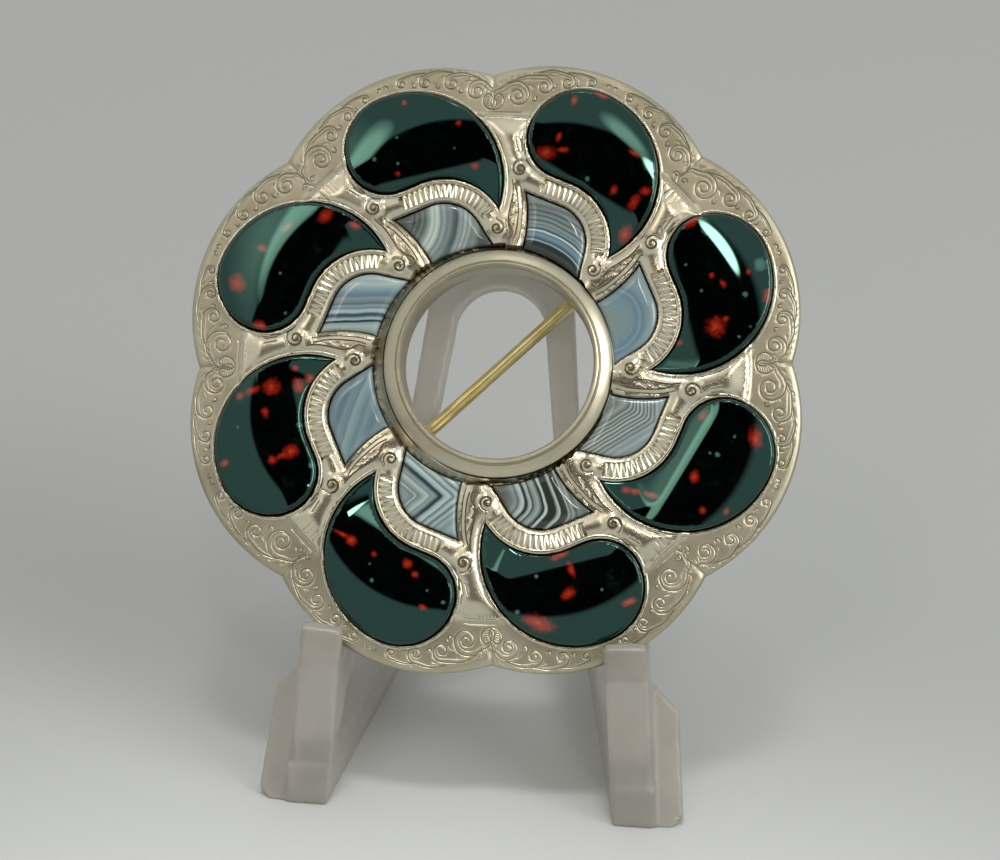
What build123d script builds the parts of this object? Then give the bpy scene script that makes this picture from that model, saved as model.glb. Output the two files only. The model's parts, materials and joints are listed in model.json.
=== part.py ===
from build123d import *
import os
from math import atan2, cos, degrees, hypot, radians, sin, sqrt

# A round open brooch of eight lobes leans on a small clear easel. The brooch is drawn flat first,
# face up, its centre at the origin and the top of its rim at height zero. One eighth of it is drawn
# as a sector with X along the rim and Y outward, and the sector is repeated round the centre.
# Lengths are millimetres and angles are degrees.

# Rim and plate
lobe_count = 8
brooch_across = 62.8      # over the tops of two facing lobes
notch_depth = 1.9         # how far the notches lie inside the lobe tops
plate_thick = 3.0
cell_floor = 0.6          # metal left under a stone
rim_bevel = 0.35
border_width = 2.05       # rim between a lobe top and the stone's head

# Raised web of necks and ribbons between the stones
web_rise = 0.4
web_drop = 4.15           # the necks run out into the rim this far inside the heads' tops
ribbon_width = 2.35
ribbon_edge = 0.5         # plain edge each side of the sunk channel
channel_depth = 0.15
scroll_size = 1.9         # across the button at a scroll's eye
scroll_rise = 0.22

# Comma-shaped bloodstones. Their outline is drawn in shares of the room between ring and rim.
head_shift_share = 0.02    # the head's top lies this far along the rim from the sector's middle
head_share = 0.317
cheek_share = 0.242
back_share = 0.528
hollow_share = 0.369       # radius of the concave edge that the ribbon follows
hollow_shift_share = 0.012
shoulder_share = 0.15      # how far in from the edge the dome levels out
stone_girdle = 0.1         # stone's edge above the rim
stone_rise = 1.35

# Banded agates between the ribbons and the ring, in shares of the same room
corner_share = 0.2135      # outer corner, along the rim
root_share = 0.101         # inner corner, along the rim
bow_share = 0.02           # bow of the edge between those corners
agate_turn = 10.0          # where the ribbon side leaves its arc
agate_rise = 0.45
agate_shoulder = 0.9

# Centre ring, soldered a little off centre
ring_bore = 19.0
ring_across = 22.7
ring_shift = 0.55
ring_shift_angle = 14.0
ring_base_rise = 0.5      # outer edge above the rim
ring_step_rise = 1.0      # top of the sloped band
ring_lip_rise = 1.3
ring_lip_width = 0.5
ring_groove = 0.12
ring_moat_depth = 1.2     # dark gap round the ring, down from the rim

# Pin, its hinge and its catch, on the back
pin_angle = 42.0
pin_diameter = 1.3
pin_tip_diameter = 0.5
pin_taper = 6.0           # length of the point
pin_standoff = 2.0        # pin's middle behind the plate's back
hinge_reach = 22.0        # hinge from the centre
catch_reach = 20.5
pin_beyond_catch = 2.2
knuckle_diameter = 2.1
knuckle_width = 1.3
rivet_diameter = 0.9
ear_thick = 0.8
ear_length = 2.9
catch_length = 2.2
catch_wall = 0.7
pin_clearance = 0.12

# Clearances
seat_gap = 0.12           # round and under each stone
rest_gap = 0.15           # between the rim and the easel's ledges

# Easel
lean = 30.0
brooch_turn = 3.5         # the brooch sits turned this much on its ledges
ledge_height = 15.3
lip_height = 4.4
lip_thick = 1.5
lip_clearance = 0.5       # between the lip and the rim's face
bracket_inner = 13.0      # inner side of each bracket from the middle, at its ledge
bracket_width = 4.1
bracket_splay = 5.0       # brackets lean outward towards the floor
toe_reach = 0.3           # bracket's toe in front of the leaning plate's foot
bar_height = 4.5
bar_width = 4.2
bar_length = 40.0         # whole length on the floor
bar_converge = 5.5        # how much nearer the bars are at the rear
plate_clearance = 0.55    # easel's back plate behind the pin
back_thick = 3.0
back_top = 13.0           # back plate's top above the brooch's centre
back_half = 8.2           # half width at the brooch's centre
back_spread = 0.1         # how much the plate widens for each millimetre down
leg_width = 2.6
leg_bend = 10.0           # legs turn out to the brackets below this
arch_top = 8.9            # top of the cut-out above the brooch's centre
flange_width = 3.3        # foot of the plate outside each bracket
flange_drop = 2.5         # its shoulder starts this far below the ledge
flange_slope = 2.8
foot_corner = 1.2         # cut off the foot's outer corner on the floor

lobe_radius = brooch_across / 2
notch_radius = lobe_radius - notch_depth
sector_angle = 360 / lobe_count
head_top = lobe_radius - border_width
ring_radius = ring_across / 2
agate_inner = ring_radius + ring_shift + seat_gap
room = head_top - agate_inner
head_shift = -head_shift_share * room
head_radius = head_share * room
cheek_radius = cheek_share * room
back_radius = back_share * room
hollow_radius = hollow_share * room
stone_shoulder = shoulder_share * room
agate_corner = corner_share * room
agate_root = root_share * room
agate_bow = bow_share * room
stone_axis = head_top - head_radius
waist = stone_axis - cheek_radius
web_reach = head_top - web_drop
hollow_centre = (hollow_shift_share * room, waist - hollow_radius)
cell_depth = plate_thick - cell_floor
stone_bottom = seat_gap - cell_depth


def polar(radius, angle):
    return (radius * cos(radians(angle)), radius * sin(radians(angle)))


def add(a, b):
    return (a[0] + b[0], a[1] + b[1])


def on_circle(radius, across):
    """Point of a circle round the brooch's centre at a distance across the sector."""
    return (across, sqrt(radius ** 2 - across ** 2))


def circles_meet(centre_a, radius_a, centre_b, radius_b):
    """Right-hand meeting point of two circles, the second one below the first."""
    dx, dy = centre_b[0] - centre_a[0], centre_b[1] - centre_a[1]
    apart = hypot(dx, dy)
    along = (radius_a ** 2 - radius_b ** 2 + apart ** 2) / (2 * apart)
    half = sqrt(radius_a ** 2 - along ** 2)
    return (centre_a[0] + (along * dx - half * dy) / apart,
            centre_a[1] + (along * dy + half * dx) / apart)


def angle_from(centre, point):
    return degrees(atan2(point[1] - centre[1], point[0] - centre[0]))


def lobed_face():
    """Outline of the rim: one arc for each lobe, from notch to notch."""
    arcs = []
    for i in range(lobe_count):
        middle = 90 + (i + 0.5) * sector_angle
        arcs.append(ThreePointArc(polar(notch_radius, middle - sector_angle / 2),
                                  polar(lobe_radius, middle),
                                  polar(notch_radius, middle + sector_angle / 2)))
    return make_face(arcs)


def comma_face(inset):
    """A bloodstone's outline, drawn in by an inset. All its arcs keep their centres."""
    back = (head_shift, head_top - back_radius)
    head = (head_shift, stone_axis)
    cheek = (head_shift - head_radius + cheek_radius, stone_axis)
    back_r = back_radius - inset
    hollow_r = hollow_radius + inset
    tip = circles_meet(back, back_r, hollow_centre, hollow_r)
    back_end = angle_from(back, tip)
    hollow_end = angle_from(hollow_centre, tip)
    cheek_low = add(cheek, (0, inset - cheek_radius))
    hollow_high = add(hollow_centre, (0, hollow_r))
    return make_face([
        CenterArc(back, back_r, back_end, 90 - back_end),
        CenterArc(head, head_radius - inset, 90, 90),
        CenterArc(cheek, cheek_radius - inset, 180, 90),
        Line(cheek_low, hollow_high),
        CenterArc(hollow_centre, hollow_r, hollow_end, 90 - hollow_end),
    ])


def agate_face():
    """An agate's cell: it follows the ribbon, the ring and the leaf of the neck."""
    radius = hollow_radius - ribbon_width
    top = add(hollow_centre, (0, radius))
    corner = (-agate_corner, top[1])
    root = on_circle(agate_inner - seat_gap, -agate_root)
    turn = add(hollow_centre, polar(radius, agate_turn))
    run = (sin(radians(agate_turn)), -cos(radians(agate_turn)))
    along = turn[0] * run[0] + turn[1] * run[1]
    inner = agate_inner - seat_gap
    reach = -along - sqrt(along ** 2 - turn[0] ** 2 - turn[1] ** 2 + inner ** 2)
    foot = add(turn, (run[0] * reach, run[1] * reach))
    middle = ((corner[0] + root[0]) / 2, (corner[1] + root[1]) / 2)
    slope = hypot(corner[0] - root[0], corner[1] - root[1])
    bow = add(middle, (agate_bow * (corner[1] - root[1]) / slope,
                       agate_bow * (root[0] - corner[0]) / slope))
    low = on_circle(inner, (root[0] + foot[0]) / 2)
    return make_face([
        ThreePointArc(corner, bow, root),
        ThreePointArc(root, low, foot),
        Line(foot, turn),
        CenterArc(hollow_centre, radius, agate_turn, 90 - agate_turn),
        Line(top, corner),
    ])


def channel_face():
    """The sunk channel along a ribbon, between its two plain edges."""
    outer = hollow_radius - ribbon_edge
    inner = hollow_radius - ribbon_width + ribbon_edge
    start = agate_turn + 2 * degrees(ribbon_edge / outer)
    left = -agate_corner + ribbon_width / 2
    return make_face([
        CenterArc(hollow_centre, outer, start, 90 - start),
        Line(add(hollow_centre, (0, outer)), (left, hollow_centre[1] + outer)),
        Line((left, hollow_centre[1] + outer), (left, hollow_centre[1] + inner)),
        Line((left, hollow_centre[1] + inner), add(hollow_centre, (0, inner))),
        CenterArc(hollow_centre, inner, start, 90 - start),
        Line(add(hollow_centre, polar(inner, start)), add(hollow_centre, polar(outer, start))),
    ])


def scroll_eyes():
    """Places of the two scroll eyes of a sector: where a ribbon starts and where it ends."""
    first = (-agate_corner - scroll_size / 2, waist - ribbon_width / 2)
    turn = add(hollow_centre, polar(hollow_radius - ribbon_width / 2, -agate_turn))
    return [first, turn]


def standing(face, low, high):
    """A straight prism on a face, from one height to another."""
    return extrude(Pos(0, 0, low) * face, amount=high - low, dir=(0, 0, 1))


def domed(sections, low):
    """A stone: a straight body under the girdle, and a dome lofted through shrinking outlines."""
    body = standing(sections[0][0], low, sections[0][1])
    dome = loft([Pos(0, 0, height) * face for face, height in sections], ruled=True)
    return body + dome


# Bloodstone's dome: share of the shoulder's inset, share of the rise
dome_rows = [(0.0, 0.0), (0.10, 0.38), (0.32, 0.72), (0.62, 0.92), (1.0, 1.0)]


def bloodstone():
    rows = []
    for inset, rise in dome_rows:
        rows.append((comma_face(seat_gap + inset * stone_shoulder), stone_girdle + rise * stone_rise))
    return domed(rows, stone_bottom)


# Agate's dome: share of the shoulder's inset, share of the rise
low_dome_rows = [(0.0, 0.0), (0.25, 0.6), (1.0, 1.0)]


def agate():
    rows = []
    for inset, rise in low_dome_rows:
        face = offset(agate_face(), amount=-seat_gap - inset * agate_shoulder, kind=Kind.INTERSECTION)
        rows.append((face, stone_girdle + rise * agate_rise))
    return domed(rows, stone_bottom)


def centre_ring():
    bore = ring_bore / 2
    lip = bore + ring_lip_width
    profile = make_face(Polyline(
        (bore, 0, -plate_thick), (ring_radius, 0, -plate_thick), (ring_radius, 0, ring_base_rise),
        (lip + 2 * ring_groove, 0, ring_step_rise), (lip + ring_groove, 0, ring_step_rise - ring_groove),
        (lip, 0, ring_lip_rise), (bore, 0, ring_lip_rise - ring_groove), close=True))
    return Pos(*polar(ring_shift, ring_shift_angle), 0) * revolve(profile, Axis.Z)


def along_pin(distance, across=0.0, height=0.0):
    """A place on the pin's line, turned so that X runs along the pin."""
    return Rot(0, 0, pin_angle) * Pos(distance, across, height)


pin_height = -plate_thick - pin_standoff


def hinge_ears():
    """Two ears that hold the pin's knuckle between them on a rivet."""
    rounded = ear_length / 2
    middle = knuckle_width / 2 + pin_clearance + ear_thick / 2
    ears = []
    for side in (-1, 1):
        root_top = cell_floor / 2 - plate_thick
        root = Pos(0, 0, (pin_height + root_top) / 2) * Box(
            ear_length, ear_thick, root_top - pin_height)
        end = Pos(0, 0, pin_height) * Rot(90, 0, 0) * Cylinder(rounded, ear_thick)
        hole = Pos(0, 0, pin_height) * Rot(90, 0, 0) * Cylinder(
            rivet_diameter / 2 + pin_clearance / 2, 2 * ear_thick)
        ears.append(along_pin(-hinge_reach, side * middle) * (root + end - hole))
    return ears


def catch():
    """A hook bent round the pin and open on one side."""
    inner = pin_diameter / 2 + pin_clearance
    outer = inner + catch_wall
    ring = Cylinder(outer, catch_length) - Cylinder(inner, 2 * catch_length)
    mouth = Pos(0, outer, 0) * Box(2 * inner, 2 * outer, 2 * catch_length)
    hook = Pos(0, 0, pin_height) * Rot(0, 90, 0) * (ring - mouth)
    stem_top = cell_floor / 2 - plate_thick
    stem_low = pin_height + inner + catch_wall / 2
    stem = Pos(0, 0, (stem_top + stem_low) / 2) * Box(catch_length, outer, stem_top - stem_low)
    return along_pin(catch_reach) * (hook + stem)


def setting():
    """The whole silver piece: plate, cells, web, ring, hinge and catch, soldered into one."""
    plate = standing(lobed_face(), -plate_thick, 0)
    rim_edges = plate.faces().sort_by(Axis.Z)[-1].outer_wire().edges()
    plate = chamfer(rim_edges, rim_bevel)
    plate += standing(Circle(web_reach).face(), 0, web_rise)
    cell_top = web_rise + stone_rise
    sector_cuts = [
        standing(comma_face(0), -cell_depth, cell_top),
        standing(agate_face(), -cell_depth, cell_top),
        standing(channel_face(), web_rise - channel_depth, cell_top),
    ]
    turns = [Rot(0, 0, i * sector_angle + sector_angle / 2) for i in range(lobe_count)]
    plate -= [turn * cut for turn in turns for cut in sector_cuts]
    button_foot = scroll_size / 2
    button = loft([Pos(0, 0, web_rise - channel_depth) * Circle(button_foot).face(),
                   Pos(0, 0, web_rise + scroll_rise) * Circle(button_foot - scroll_rise).face()])
    plate += [turn * Pos(*eye, 0) * button for turn in turns for eye in scroll_eyes()]
    place = Pos(*polar(ring_shift, ring_shift_angle), 0)
    moat = Cylinder(ring_radius + seat_gap, 2 * ring_moat_depth)
    bore = Cylinder(ring_radius - ring_lip_width / 2, 4 * plate_thick)
    plate -= [place * moat, place * bore]
    return plate + [centre_ring()] + hinge_ears() + [catch()]


def brooch_pin():
    """Stem, point, knuckle and rivet of the pin, made in one."""
    stem_end = catch_reach + catch_length / 2 + pin_beyond_catch - pin_taper
    length = stem_end + hinge_reach
    lying = Rot(0, 90, 0)
    stem = along_pin(length / 2 - hinge_reach, 0, pin_height) * lying * Cylinder(
        pin_diameter / 2, length)
    point = along_pin(stem_end + pin_taper / 2, 0, pin_height) * lying * Cone(
        pin_diameter / 2, pin_tip_diameter / 2, pin_taper)
    knuckle = along_pin(-hinge_reach, 0, pin_height) * Rot(90, 0, 0) * Cylinder(
        knuckle_diameter / 2, knuckle_width)
    rivet_length = knuckle_width + 2 * (pin_clearance + ear_thick)
    rivet = along_pin(-hinge_reach, 0, pin_height) * Rot(90, 0, 0) * Cylinder(
        rivet_diameter / 2, rivet_length)
    return stem + point + knuckle + rivet


# Setting the brooch on its easel: it leans back and rests with the rear edge of its rim on the
# inner edges of the two ledges.
lobe_chord = notch_radius * sin(radians(sector_angle / 2))
lobe_depth = lobe_radius - notch_radius * cos(radians(sector_angle / 2))
lobe_arc = (lobe_chord ** 2 + lobe_depth ** 2) / (2 * lobe_depth)


def rim_below(side):
    """How far below the brooch's centre its rim is over one ledge's inner edge."""
    low_lobe = polar(lobe_radius - lobe_arc, brooch_turn - 90 + side * sector_angle / 2)
    return sqrt(lobe_arc ** 2 - (side * bracket_inner - low_lobe[0]) ** 2) - low_lobe[1]


rim_drop = max(rim_below(-1), rim_below(1))
lean_sin = sin(radians(lean))
lean_cos = cos(radians(lean))
centre_height = ledge_height + rest_gap + rim_drop * lean_cos + plate_thick * lean_sin
leaning = Plane(origin=(0, 0, centre_height), x_dir=(1, 0, 0), z_dir=(0, -lean_cos, lean_sin)).location
seat = leaning * Rot(0, 0, brooch_turn)
back_face = pin_height - pin_diameter / 2 - plate_clearance
bracket_outer = bracket_inner + bracket_width
lip_back = -rim_drop * lean_sin - lip_clearance


def down_plate(height, depth=0.0):
    """Distance along the leaning plate to a height, on its front face or a depth behind it."""
    return (height - centre_height - (back_face - depth) * lean_sin) / lean_cos


def plate_y(height, depth=0.0):
    """How far back the leaning plate is at a height."""
    return down_plate(height, depth) * lean_sin - (back_face - depth) * lean_cos


toe = plate_y(0) - toe_reach


def bracket():
    """Right-hand bracket: its side view, with the ledge, the lip and the leaning front."""
    lip_top = ledge_height + lip_height
    low = -bracket_width
    side = make_face(Polyline(
        (lip_back - lip_thick, lip_top), (lip_back, lip_top), (lip_back, ledge_height),
        (plate_y(ledge_height, back_thick / 2), ledge_height), (plate_y(low, back_thick / 2), low),
        (toe + low * (lip_back - lip_thick - toe) / lip_top, low), close=True))
    upright = extrude(Plane.YZ.offset(bracket_inner) * side, amount=bracket_width)
    pivot = Pos(bracket_inner, 0, ledge_height)
    return pivot * Rot(0, -bracket_splay, 0) * pivot.inverse() * upright


def floor_bar():
    """Right-hand bar on the floor, from the toe to the rear end."""
    inner = bracket_inner + ledge_height * sin(radians(bracket_splay))
    rear = toe + bar_length
    plan = make_face(Polyline(
        (inner, toe), (inner + bar_width, toe), (inner + bar_width - bar_converge, rear),
        (inner - bar_converge, rear), close=True))
    return extrude(plan, amount=bar_height)


def easel_back():
    """Leaning back plate: an arch on two legs that turn out into feet behind the brackets."""
    low = down_plate(-bracket_width)
    floor_line = down_plate(0)
    ledge = down_plate(ledge_height)
    shoulder = down_plate(ledge_height - flange_drop)
    brow = down_plate(ledge_height - flange_drop - flange_slope)
    splay = (ledge - low) * sin(radians(bracket_splay))
    top_half = back_half - back_spread * back_top
    bend_half = back_half + back_spread * leg_bend
    half = [(top_half, back_top), (bend_half, -leg_bend), (bracket_outer, ledge),
            (bracket_outer, shoulder), (bracket_outer + flange_width, brow),
            (bracket_outer + flange_width + splay / 2, floor_line + foot_corner),
            (bracket_outer + flange_width + splay / 2 - foot_corner, floor_line),
            (bracket_outer + flange_width + splay / 2 - foot_corner, low)]
    outline = half + [(-x, y) for x, y in reversed(half)]
    plate = make_face(Polyline(*outline, close=True))
    arch_half = back_half - leg_width - back_spread * arch_top
    arch_foot = arch_top - arch_half
    legs = [(arch_half, arch_foot), (bend_half - leg_width, -leg_bend), (bracket_inner, ledge),
            (bracket_inner + splay, low)]
    cut = make_face([
        ThreePointArc(legs[0], (0, arch_top), (-arch_half, arch_foot)),
        Polyline(*[(-x, y) for x, y in legs], *reversed(legs)),
    ])
    return leaning * standing(plate - cut, back_face - back_thick, back_face)


def display_stand():
    side = bracket() + floor_bar()
    whole = easel_back() + side + mirror(side, about=Plane.YZ)
    floor_size = 2 * bar_length
    return whole - Pos(0, 0, -floor_size / 2) * Box(floor_size, floor_size, floor_size)


nodes = {"silver_setting": seat * setting(), "brooch_pin": seat * brooch_pin(),
         "display_stand": display_stand()}
blood_blank = bloodstone()
agate_blank = agate()
for i in range(lobe_count):
    turn = Rot(0, 0, -(i * sector_angle + sector_angle / 2))
    nodes[f"bloodstone_{i + 1}"] = seat * turn * blood_blank
    nodes[f"banded_agate_{i + 1}"] = seat * turn * agate_blank

# The origin is the middle of the whole thing's footprint, on the surface that it stands on.
boxes = [solid.bounding_box() for solid in nodes.values()]
front = min(box.min.Y for box in boxes)
rear = max(box.max.Y for box in boxes)
home = Pos(0, -(front + rear) / 2, 0)
os.makedirs("parts", exist_ok=True)
for name, solid in nodes.items():
    export_step(home * solid, f"parts/{name}.step")
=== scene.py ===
import json
import math
import random

import bmesh
import bpy
import numpy as np
from mathutils import Matrix, Vector
from mathutils.geometry import delaunay_2d_cdt


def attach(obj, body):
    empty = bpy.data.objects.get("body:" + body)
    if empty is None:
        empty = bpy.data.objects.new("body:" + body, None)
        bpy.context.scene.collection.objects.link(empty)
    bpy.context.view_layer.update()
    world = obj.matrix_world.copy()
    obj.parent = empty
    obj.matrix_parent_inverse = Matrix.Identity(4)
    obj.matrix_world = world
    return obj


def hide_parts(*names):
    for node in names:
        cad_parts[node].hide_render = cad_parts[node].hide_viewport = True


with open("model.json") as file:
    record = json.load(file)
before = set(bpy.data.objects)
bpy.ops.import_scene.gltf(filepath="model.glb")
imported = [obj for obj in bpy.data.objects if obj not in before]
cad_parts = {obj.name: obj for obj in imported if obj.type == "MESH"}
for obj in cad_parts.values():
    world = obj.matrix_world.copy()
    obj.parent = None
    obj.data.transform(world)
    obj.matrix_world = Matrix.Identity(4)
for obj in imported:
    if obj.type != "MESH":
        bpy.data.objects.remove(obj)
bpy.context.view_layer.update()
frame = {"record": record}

# The view
# The brooch leans back on its easel, and the pin's mount gives its middle and the way that it faces.
# The camera stands a little to its right and above it, as a hand-held camera would for a sale photograph.
MM = 0.001
LEAN = math.radians(30.0)
BROOCH_TURN = math.radians(3.5)
PIN_HEIGHT = -5.0
CAMERA_AZIMUTH = math.radians(5.0)
CAMERA_ELEVATION = math.radians(24.5)
CAMERA_ROLL = math.radians(1.18)
CAMERA_DISTANCE = 189.7 * MM
CAMERA_LENS = 69.0
AIM_RIGHT = 0.75 * MM
AIM_DOWN = 6.43 * MM
NEAR_CLIP = 10 * MM
FAR_CLIP = 10.0

mounts = {mount["name"]: mount for mount in frame["record"]["mounts"]}
pin_mount = mounts["pin_through_cloth"]
facing = -Vector(pin_mount["axis"]).normalized()
centre = Vector(pin_mount["pos_m"]) - facing * PIN_HEIGHT * MM
flat_up = Vector((0.0, math.sin(LEAN), math.cos(LEAN)))
turn = Matrix.Rotation(BROOCH_TURN, 4, "Z")
brooch_place = Matrix.Translation(centre) @ Matrix(
    (Vector((1, 0, 0)), flat_up, facing)).transposed().to_4x4() @ turn


def into_scene(name, data):
    """A new object in the scene that shows a mesh, a light or a camera."""
    obj = bpy.data.objects.new(name, data)
    bpy.context.scene.collection.objects.link(obj)
    return obj


camera_data = bpy.data.cameras.new("camera")
camera_data.lens = CAMERA_LENS
camera_data.clip_start = NEAR_CLIP
camera_data.clip_end = FAR_CLIP
camera = into_scene("camera", camera_data)
bpy.context.scene.camera = camera
back = Vector((math.sin(CAMERA_AZIMUTH) * math.cos(CAMERA_ELEVATION),
               -math.cos(CAMERA_AZIMUTH) * math.cos(CAMERA_ELEVATION), math.sin(CAMERA_ELEVATION)))
sideways = Vector((math.cos(CAMERA_AZIMUTH), math.sin(CAMERA_AZIMUTH), 0))
upward = back.cross(sideways)
right = sideways * math.cos(CAMERA_ROLL) + upward * math.sin(CAMERA_ROLL)
above = upward * math.cos(CAMERA_ROLL) - sideways * math.sin(CAMERA_ROLL)
eye = centre + right * AIM_RIGHT - above * AIM_DOWN + back * CAMERA_DISTANCE
camera.matrix_world = Matrix.Translation(eye) @ Matrix((right, above, back)).transposed().to_4x4()


# Silver plate, engraved
# A cast and engraved silver plate of eight lobes, pierced by a cell for each stone. Raised necks and
# ribbons run between the cells, and a graver cut the scrolls into the rim. Drawn flat, in millimetres.
RIM_RADIUS = 31.4
NOTCH_RADIUS = 29.5
SECTORS = 8
SECTOR = 2 * math.pi / SECTORS
PLATE_THICK = 3.0
CELL_DEPTH = 2.4
# A cell's parts are shares of the room between the rim's engraving and the ring
ROOM = 17.33
HEAD_TOP = 29.35
HEAD_SHIFT = -0.02 * ROOM
HEAD = 0.317 * ROOM
CHEEK = 0.242 * ROOM
BACK = 0.528 * ROOM
HOLLOW = 0.369 * ROOM
HEAD_MIDDLE = HEAD_TOP - HEAD
WAIST = HEAD_MIDDLE - CHEEK
HOLLOW_CENTRE = np.array((0.012 * ROOM, WAIST - HOLLOW))
RIBBON = 2.35
RIBBON_EDGE = 0.5
AGATE_CORNER = 0.2135 * ROOM
AGATE_ROOT = 0.101 * ROOM
AGATE_BOW = 0.02 * ROOM
AGATE_TURN = math.radians(10.0)
RING_RADIUS = 11.35
RING_PLACE = np.array((0.55 * math.cos(math.radians(14)), 0.55 * math.sin(math.radians(14))))
AGATE_INNER = RING_RADIUS + 0.55
SEAT_GAP = 0.12
# The web round the cells stands proud of the rim, out to a short ramp
WEB_RISE = 0.4
WEB_REACH = 25.2
WEB_RAMP = 0.5
RAMP_SPAN = (math.radians(114), math.radians(106))
LIP_WIDTH = 0.42
LIP_RISE = 0.13
# Facets fall away in the ribbons' channel, and their feet are painted dark: tarnish, and painted shade
# between the facets
CHANNEL_DROP = 0.04
FACET_FALL = 0.15
FACET_TARNISH_AND_SHADE = 0.7
# Between the cells' lips the web swells like a pillow, and flattens towards its ramp
PILLOW = 0.3
PILLOW_REACH = 1.5
PILLOW_FADE = 1.5
PILLOW_END = WEB_REACH - 0.4
PILLOW_START = 0.3
PILLOW_BLEND = 0.2
SCROLL_BULB = 0.2
ROLL_WIDTH = 0.85
ROLL_DROP = 0.42
NECK_POLISH = 0.85
ENGRAVER_SEED = 8
# How far apart points stand along a line and between the lines, and where lines follow the rim's roll
# and a cell's lip, as insets and as shares of its width
LINE_STEP = 0.22
GRAIN = 0.34
EVEN_TRIANGLE = 0.866
ROLL_LINES = (0.08, 0.25, ROLL_WIDTH)
LIP_LINES = (0.15, 0.5, 0.85, 1.0)


def arc(middle, radius, start, end):
    """Points on an arc between two angles in radians, about one line step apart."""
    count = max(3, int(abs(end - start) * radius / LINE_STEP) + 1)
    angles = np.linspace(start, end, count)
    return np.array(middle) + radius * np.stack((np.cos(angles), np.sin(angles)), 1)


def straight(start, end):
    count = max(2, int(math.dist(start, end) / LINE_STEP) + 1)
    return np.linspace(start, end, count)


def joined(runs):
    """One closed loop of several runs, without the points that they share."""
    return np.concatenate([run[:-1] for run in runs])


def right_meeting(middle_a, radius_a, middle_b, radius_b):
    """The right-hand meeting point of a circle and one below it."""
    across = np.array(middle_b) - np.array(middle_a)
    apart = math.hypot(*across)
    along = (radius_a ** 2 - radius_b ** 2 + apart ** 2) / (2 * apart)
    half = math.sqrt(radius_a ** 2 - along ** 2)
    side = np.array((-across[1], across[0]))
    return np.array(middle_a) + (along * across + half * side) / apart


def direction(middle, point):
    return math.atan2(point[1] - middle[1], point[0] - middle[0])


def comma(inset):
    """A bloodstone's outline in its own sector, drawn in by an inset."""
    round_back = (HEAD_SHIFT, HEAD_TOP - BACK)
    head = (HEAD_SHIFT, HEAD_MIDDLE)
    cheek = (HEAD_SHIFT - HEAD + CHEEK, HEAD_MIDDLE)
    tip = right_meeting(round_back, BACK - inset, HOLLOW_CENTRE, HOLLOW + inset)
    quarter = math.pi / 2
    return joined([
        arc(round_back, BACK - inset, direction(round_back, tip), quarter),
        arc(head, HEAD - inset, quarter, 2 * quarter),
        arc(cheek, CHEEK - inset, 2 * quarter, 3 * quarter),
        straight((cheek[0], WAIST + inset), (HOLLOW_CENTRE[0], WAIST + inset)),
        arc(HOLLOW_CENTRE, HOLLOW + inset, quarter, direction(HOLLOW_CENTRE, tip)),
    ])


def agate_outline():
    """An agate's cell in its own sector: it follows the ribbon, the ring and the leaf of the neck."""
    radius = HOLLOW - RIBBON
    top = HOLLOW_CENTRE + (0, radius)
    corner = np.array((-AGATE_CORNER, top[1]))
    root = np.array((-AGATE_ROOT, math.sqrt(AGATE_INNER ** 2 - AGATE_ROOT ** 2)))
    bend = HOLLOW_CENTRE + radius * np.array((math.cos(AGATE_TURN), math.sin(AGATE_TURN)))
    run = np.array((math.sin(AGATE_TURN), -math.cos(AGATE_TURN)))
    along = bend @ run
    foot = bend - run * (along + math.sqrt(along ** 2 - bend @ bend + AGATE_INNER ** 2))
    chord = root - corner
    length = math.hypot(*chord)
    bulge = (length ** 2 / 4 + AGATE_BOW ** 2) / (2 * AGATE_BOW)
    inward = np.array((-chord[1], chord[0])) / length
    bow_middle = (corner + root) / 2 - inward * (bulge - AGATE_BOW)
    foot_angle = direction((0, 0), foot)
    return joined([
        arc(bow_middle, bulge, direction(bow_middle, corner), direction(bow_middle, root)),
        arc((0, 0), AGATE_INNER, direction((0, 0), root), foot_angle),
        straight(foot, bend),
        arc(HOLLOW_CENTRE, radius, AGATE_TURN, math.pi / 2),
        straight(top, corner),
    ])


def widened(loop, by):
    """A closed loop moved outward by a distance, its corners mitred to twice that at most."""
    ahead = np.roll(loop, -1, 0) - loop
    ahead /= np.linalg.norm(ahead, axis=1)[:, None]
    behind = np.roll(ahead, 1, 0)
    area = (loop[:, 0] * np.roll(loop[:, 1], -1) - np.roll(loop[:, 0], -1) * loop[:, 1]).sum()
    outward = np.sign(area) * by
    normal = np.stack((ahead[:, 1] + behind[:, 1], -ahead[:, 0] - behind[:, 0]), 1)
    normal /= np.linalg.norm(normal, axis=1)[:, None]
    square = np.abs(normal[:, 0] * ahead[:, 1] - normal[:, 1] * ahead[:, 0])
    return loop + normal * (outward / np.maximum(square, 0.5))[:, None]


def round_lobes(inset):
    """The rim's outline from notch to notch, drawn in by an inset."""
    half = SECTOR / 2
    chord = NOTCH_RADIUS * math.sin(half)
    depth = RIM_RADIUS - NOTCH_RADIUS * math.cos(half)
    lobe = (chord ** 2 + depth ** 2) / (2 * depth)
    away = RIM_RADIUS - lobe
    reach = half + math.asin(away * math.sin(half) / (lobe - inset))
    runs = []
    for i in range(SECTORS):
        middle = SECTOR * (i + 0.5)
        place = away * np.array((math.cos(middle), math.sin(middle)))
        runs.append(arc(place, lobe - inset, middle - reach, middle + reach))
    return joined(runs)


def in_sector(points, i):
    """Points of a sector's drawing, turned to where the sector with that number lies."""
    angle = -(i + 0.5) * SECTOR
    cosine, sine = math.cos(angle), math.sin(angle)
    points = np.asarray(points, float)
    return np.stack((points[:, 0] * cosine - points[:, 1] * sine,
                     points[:, 0] * sine + points[:, 1] * cosine), 1)


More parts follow.
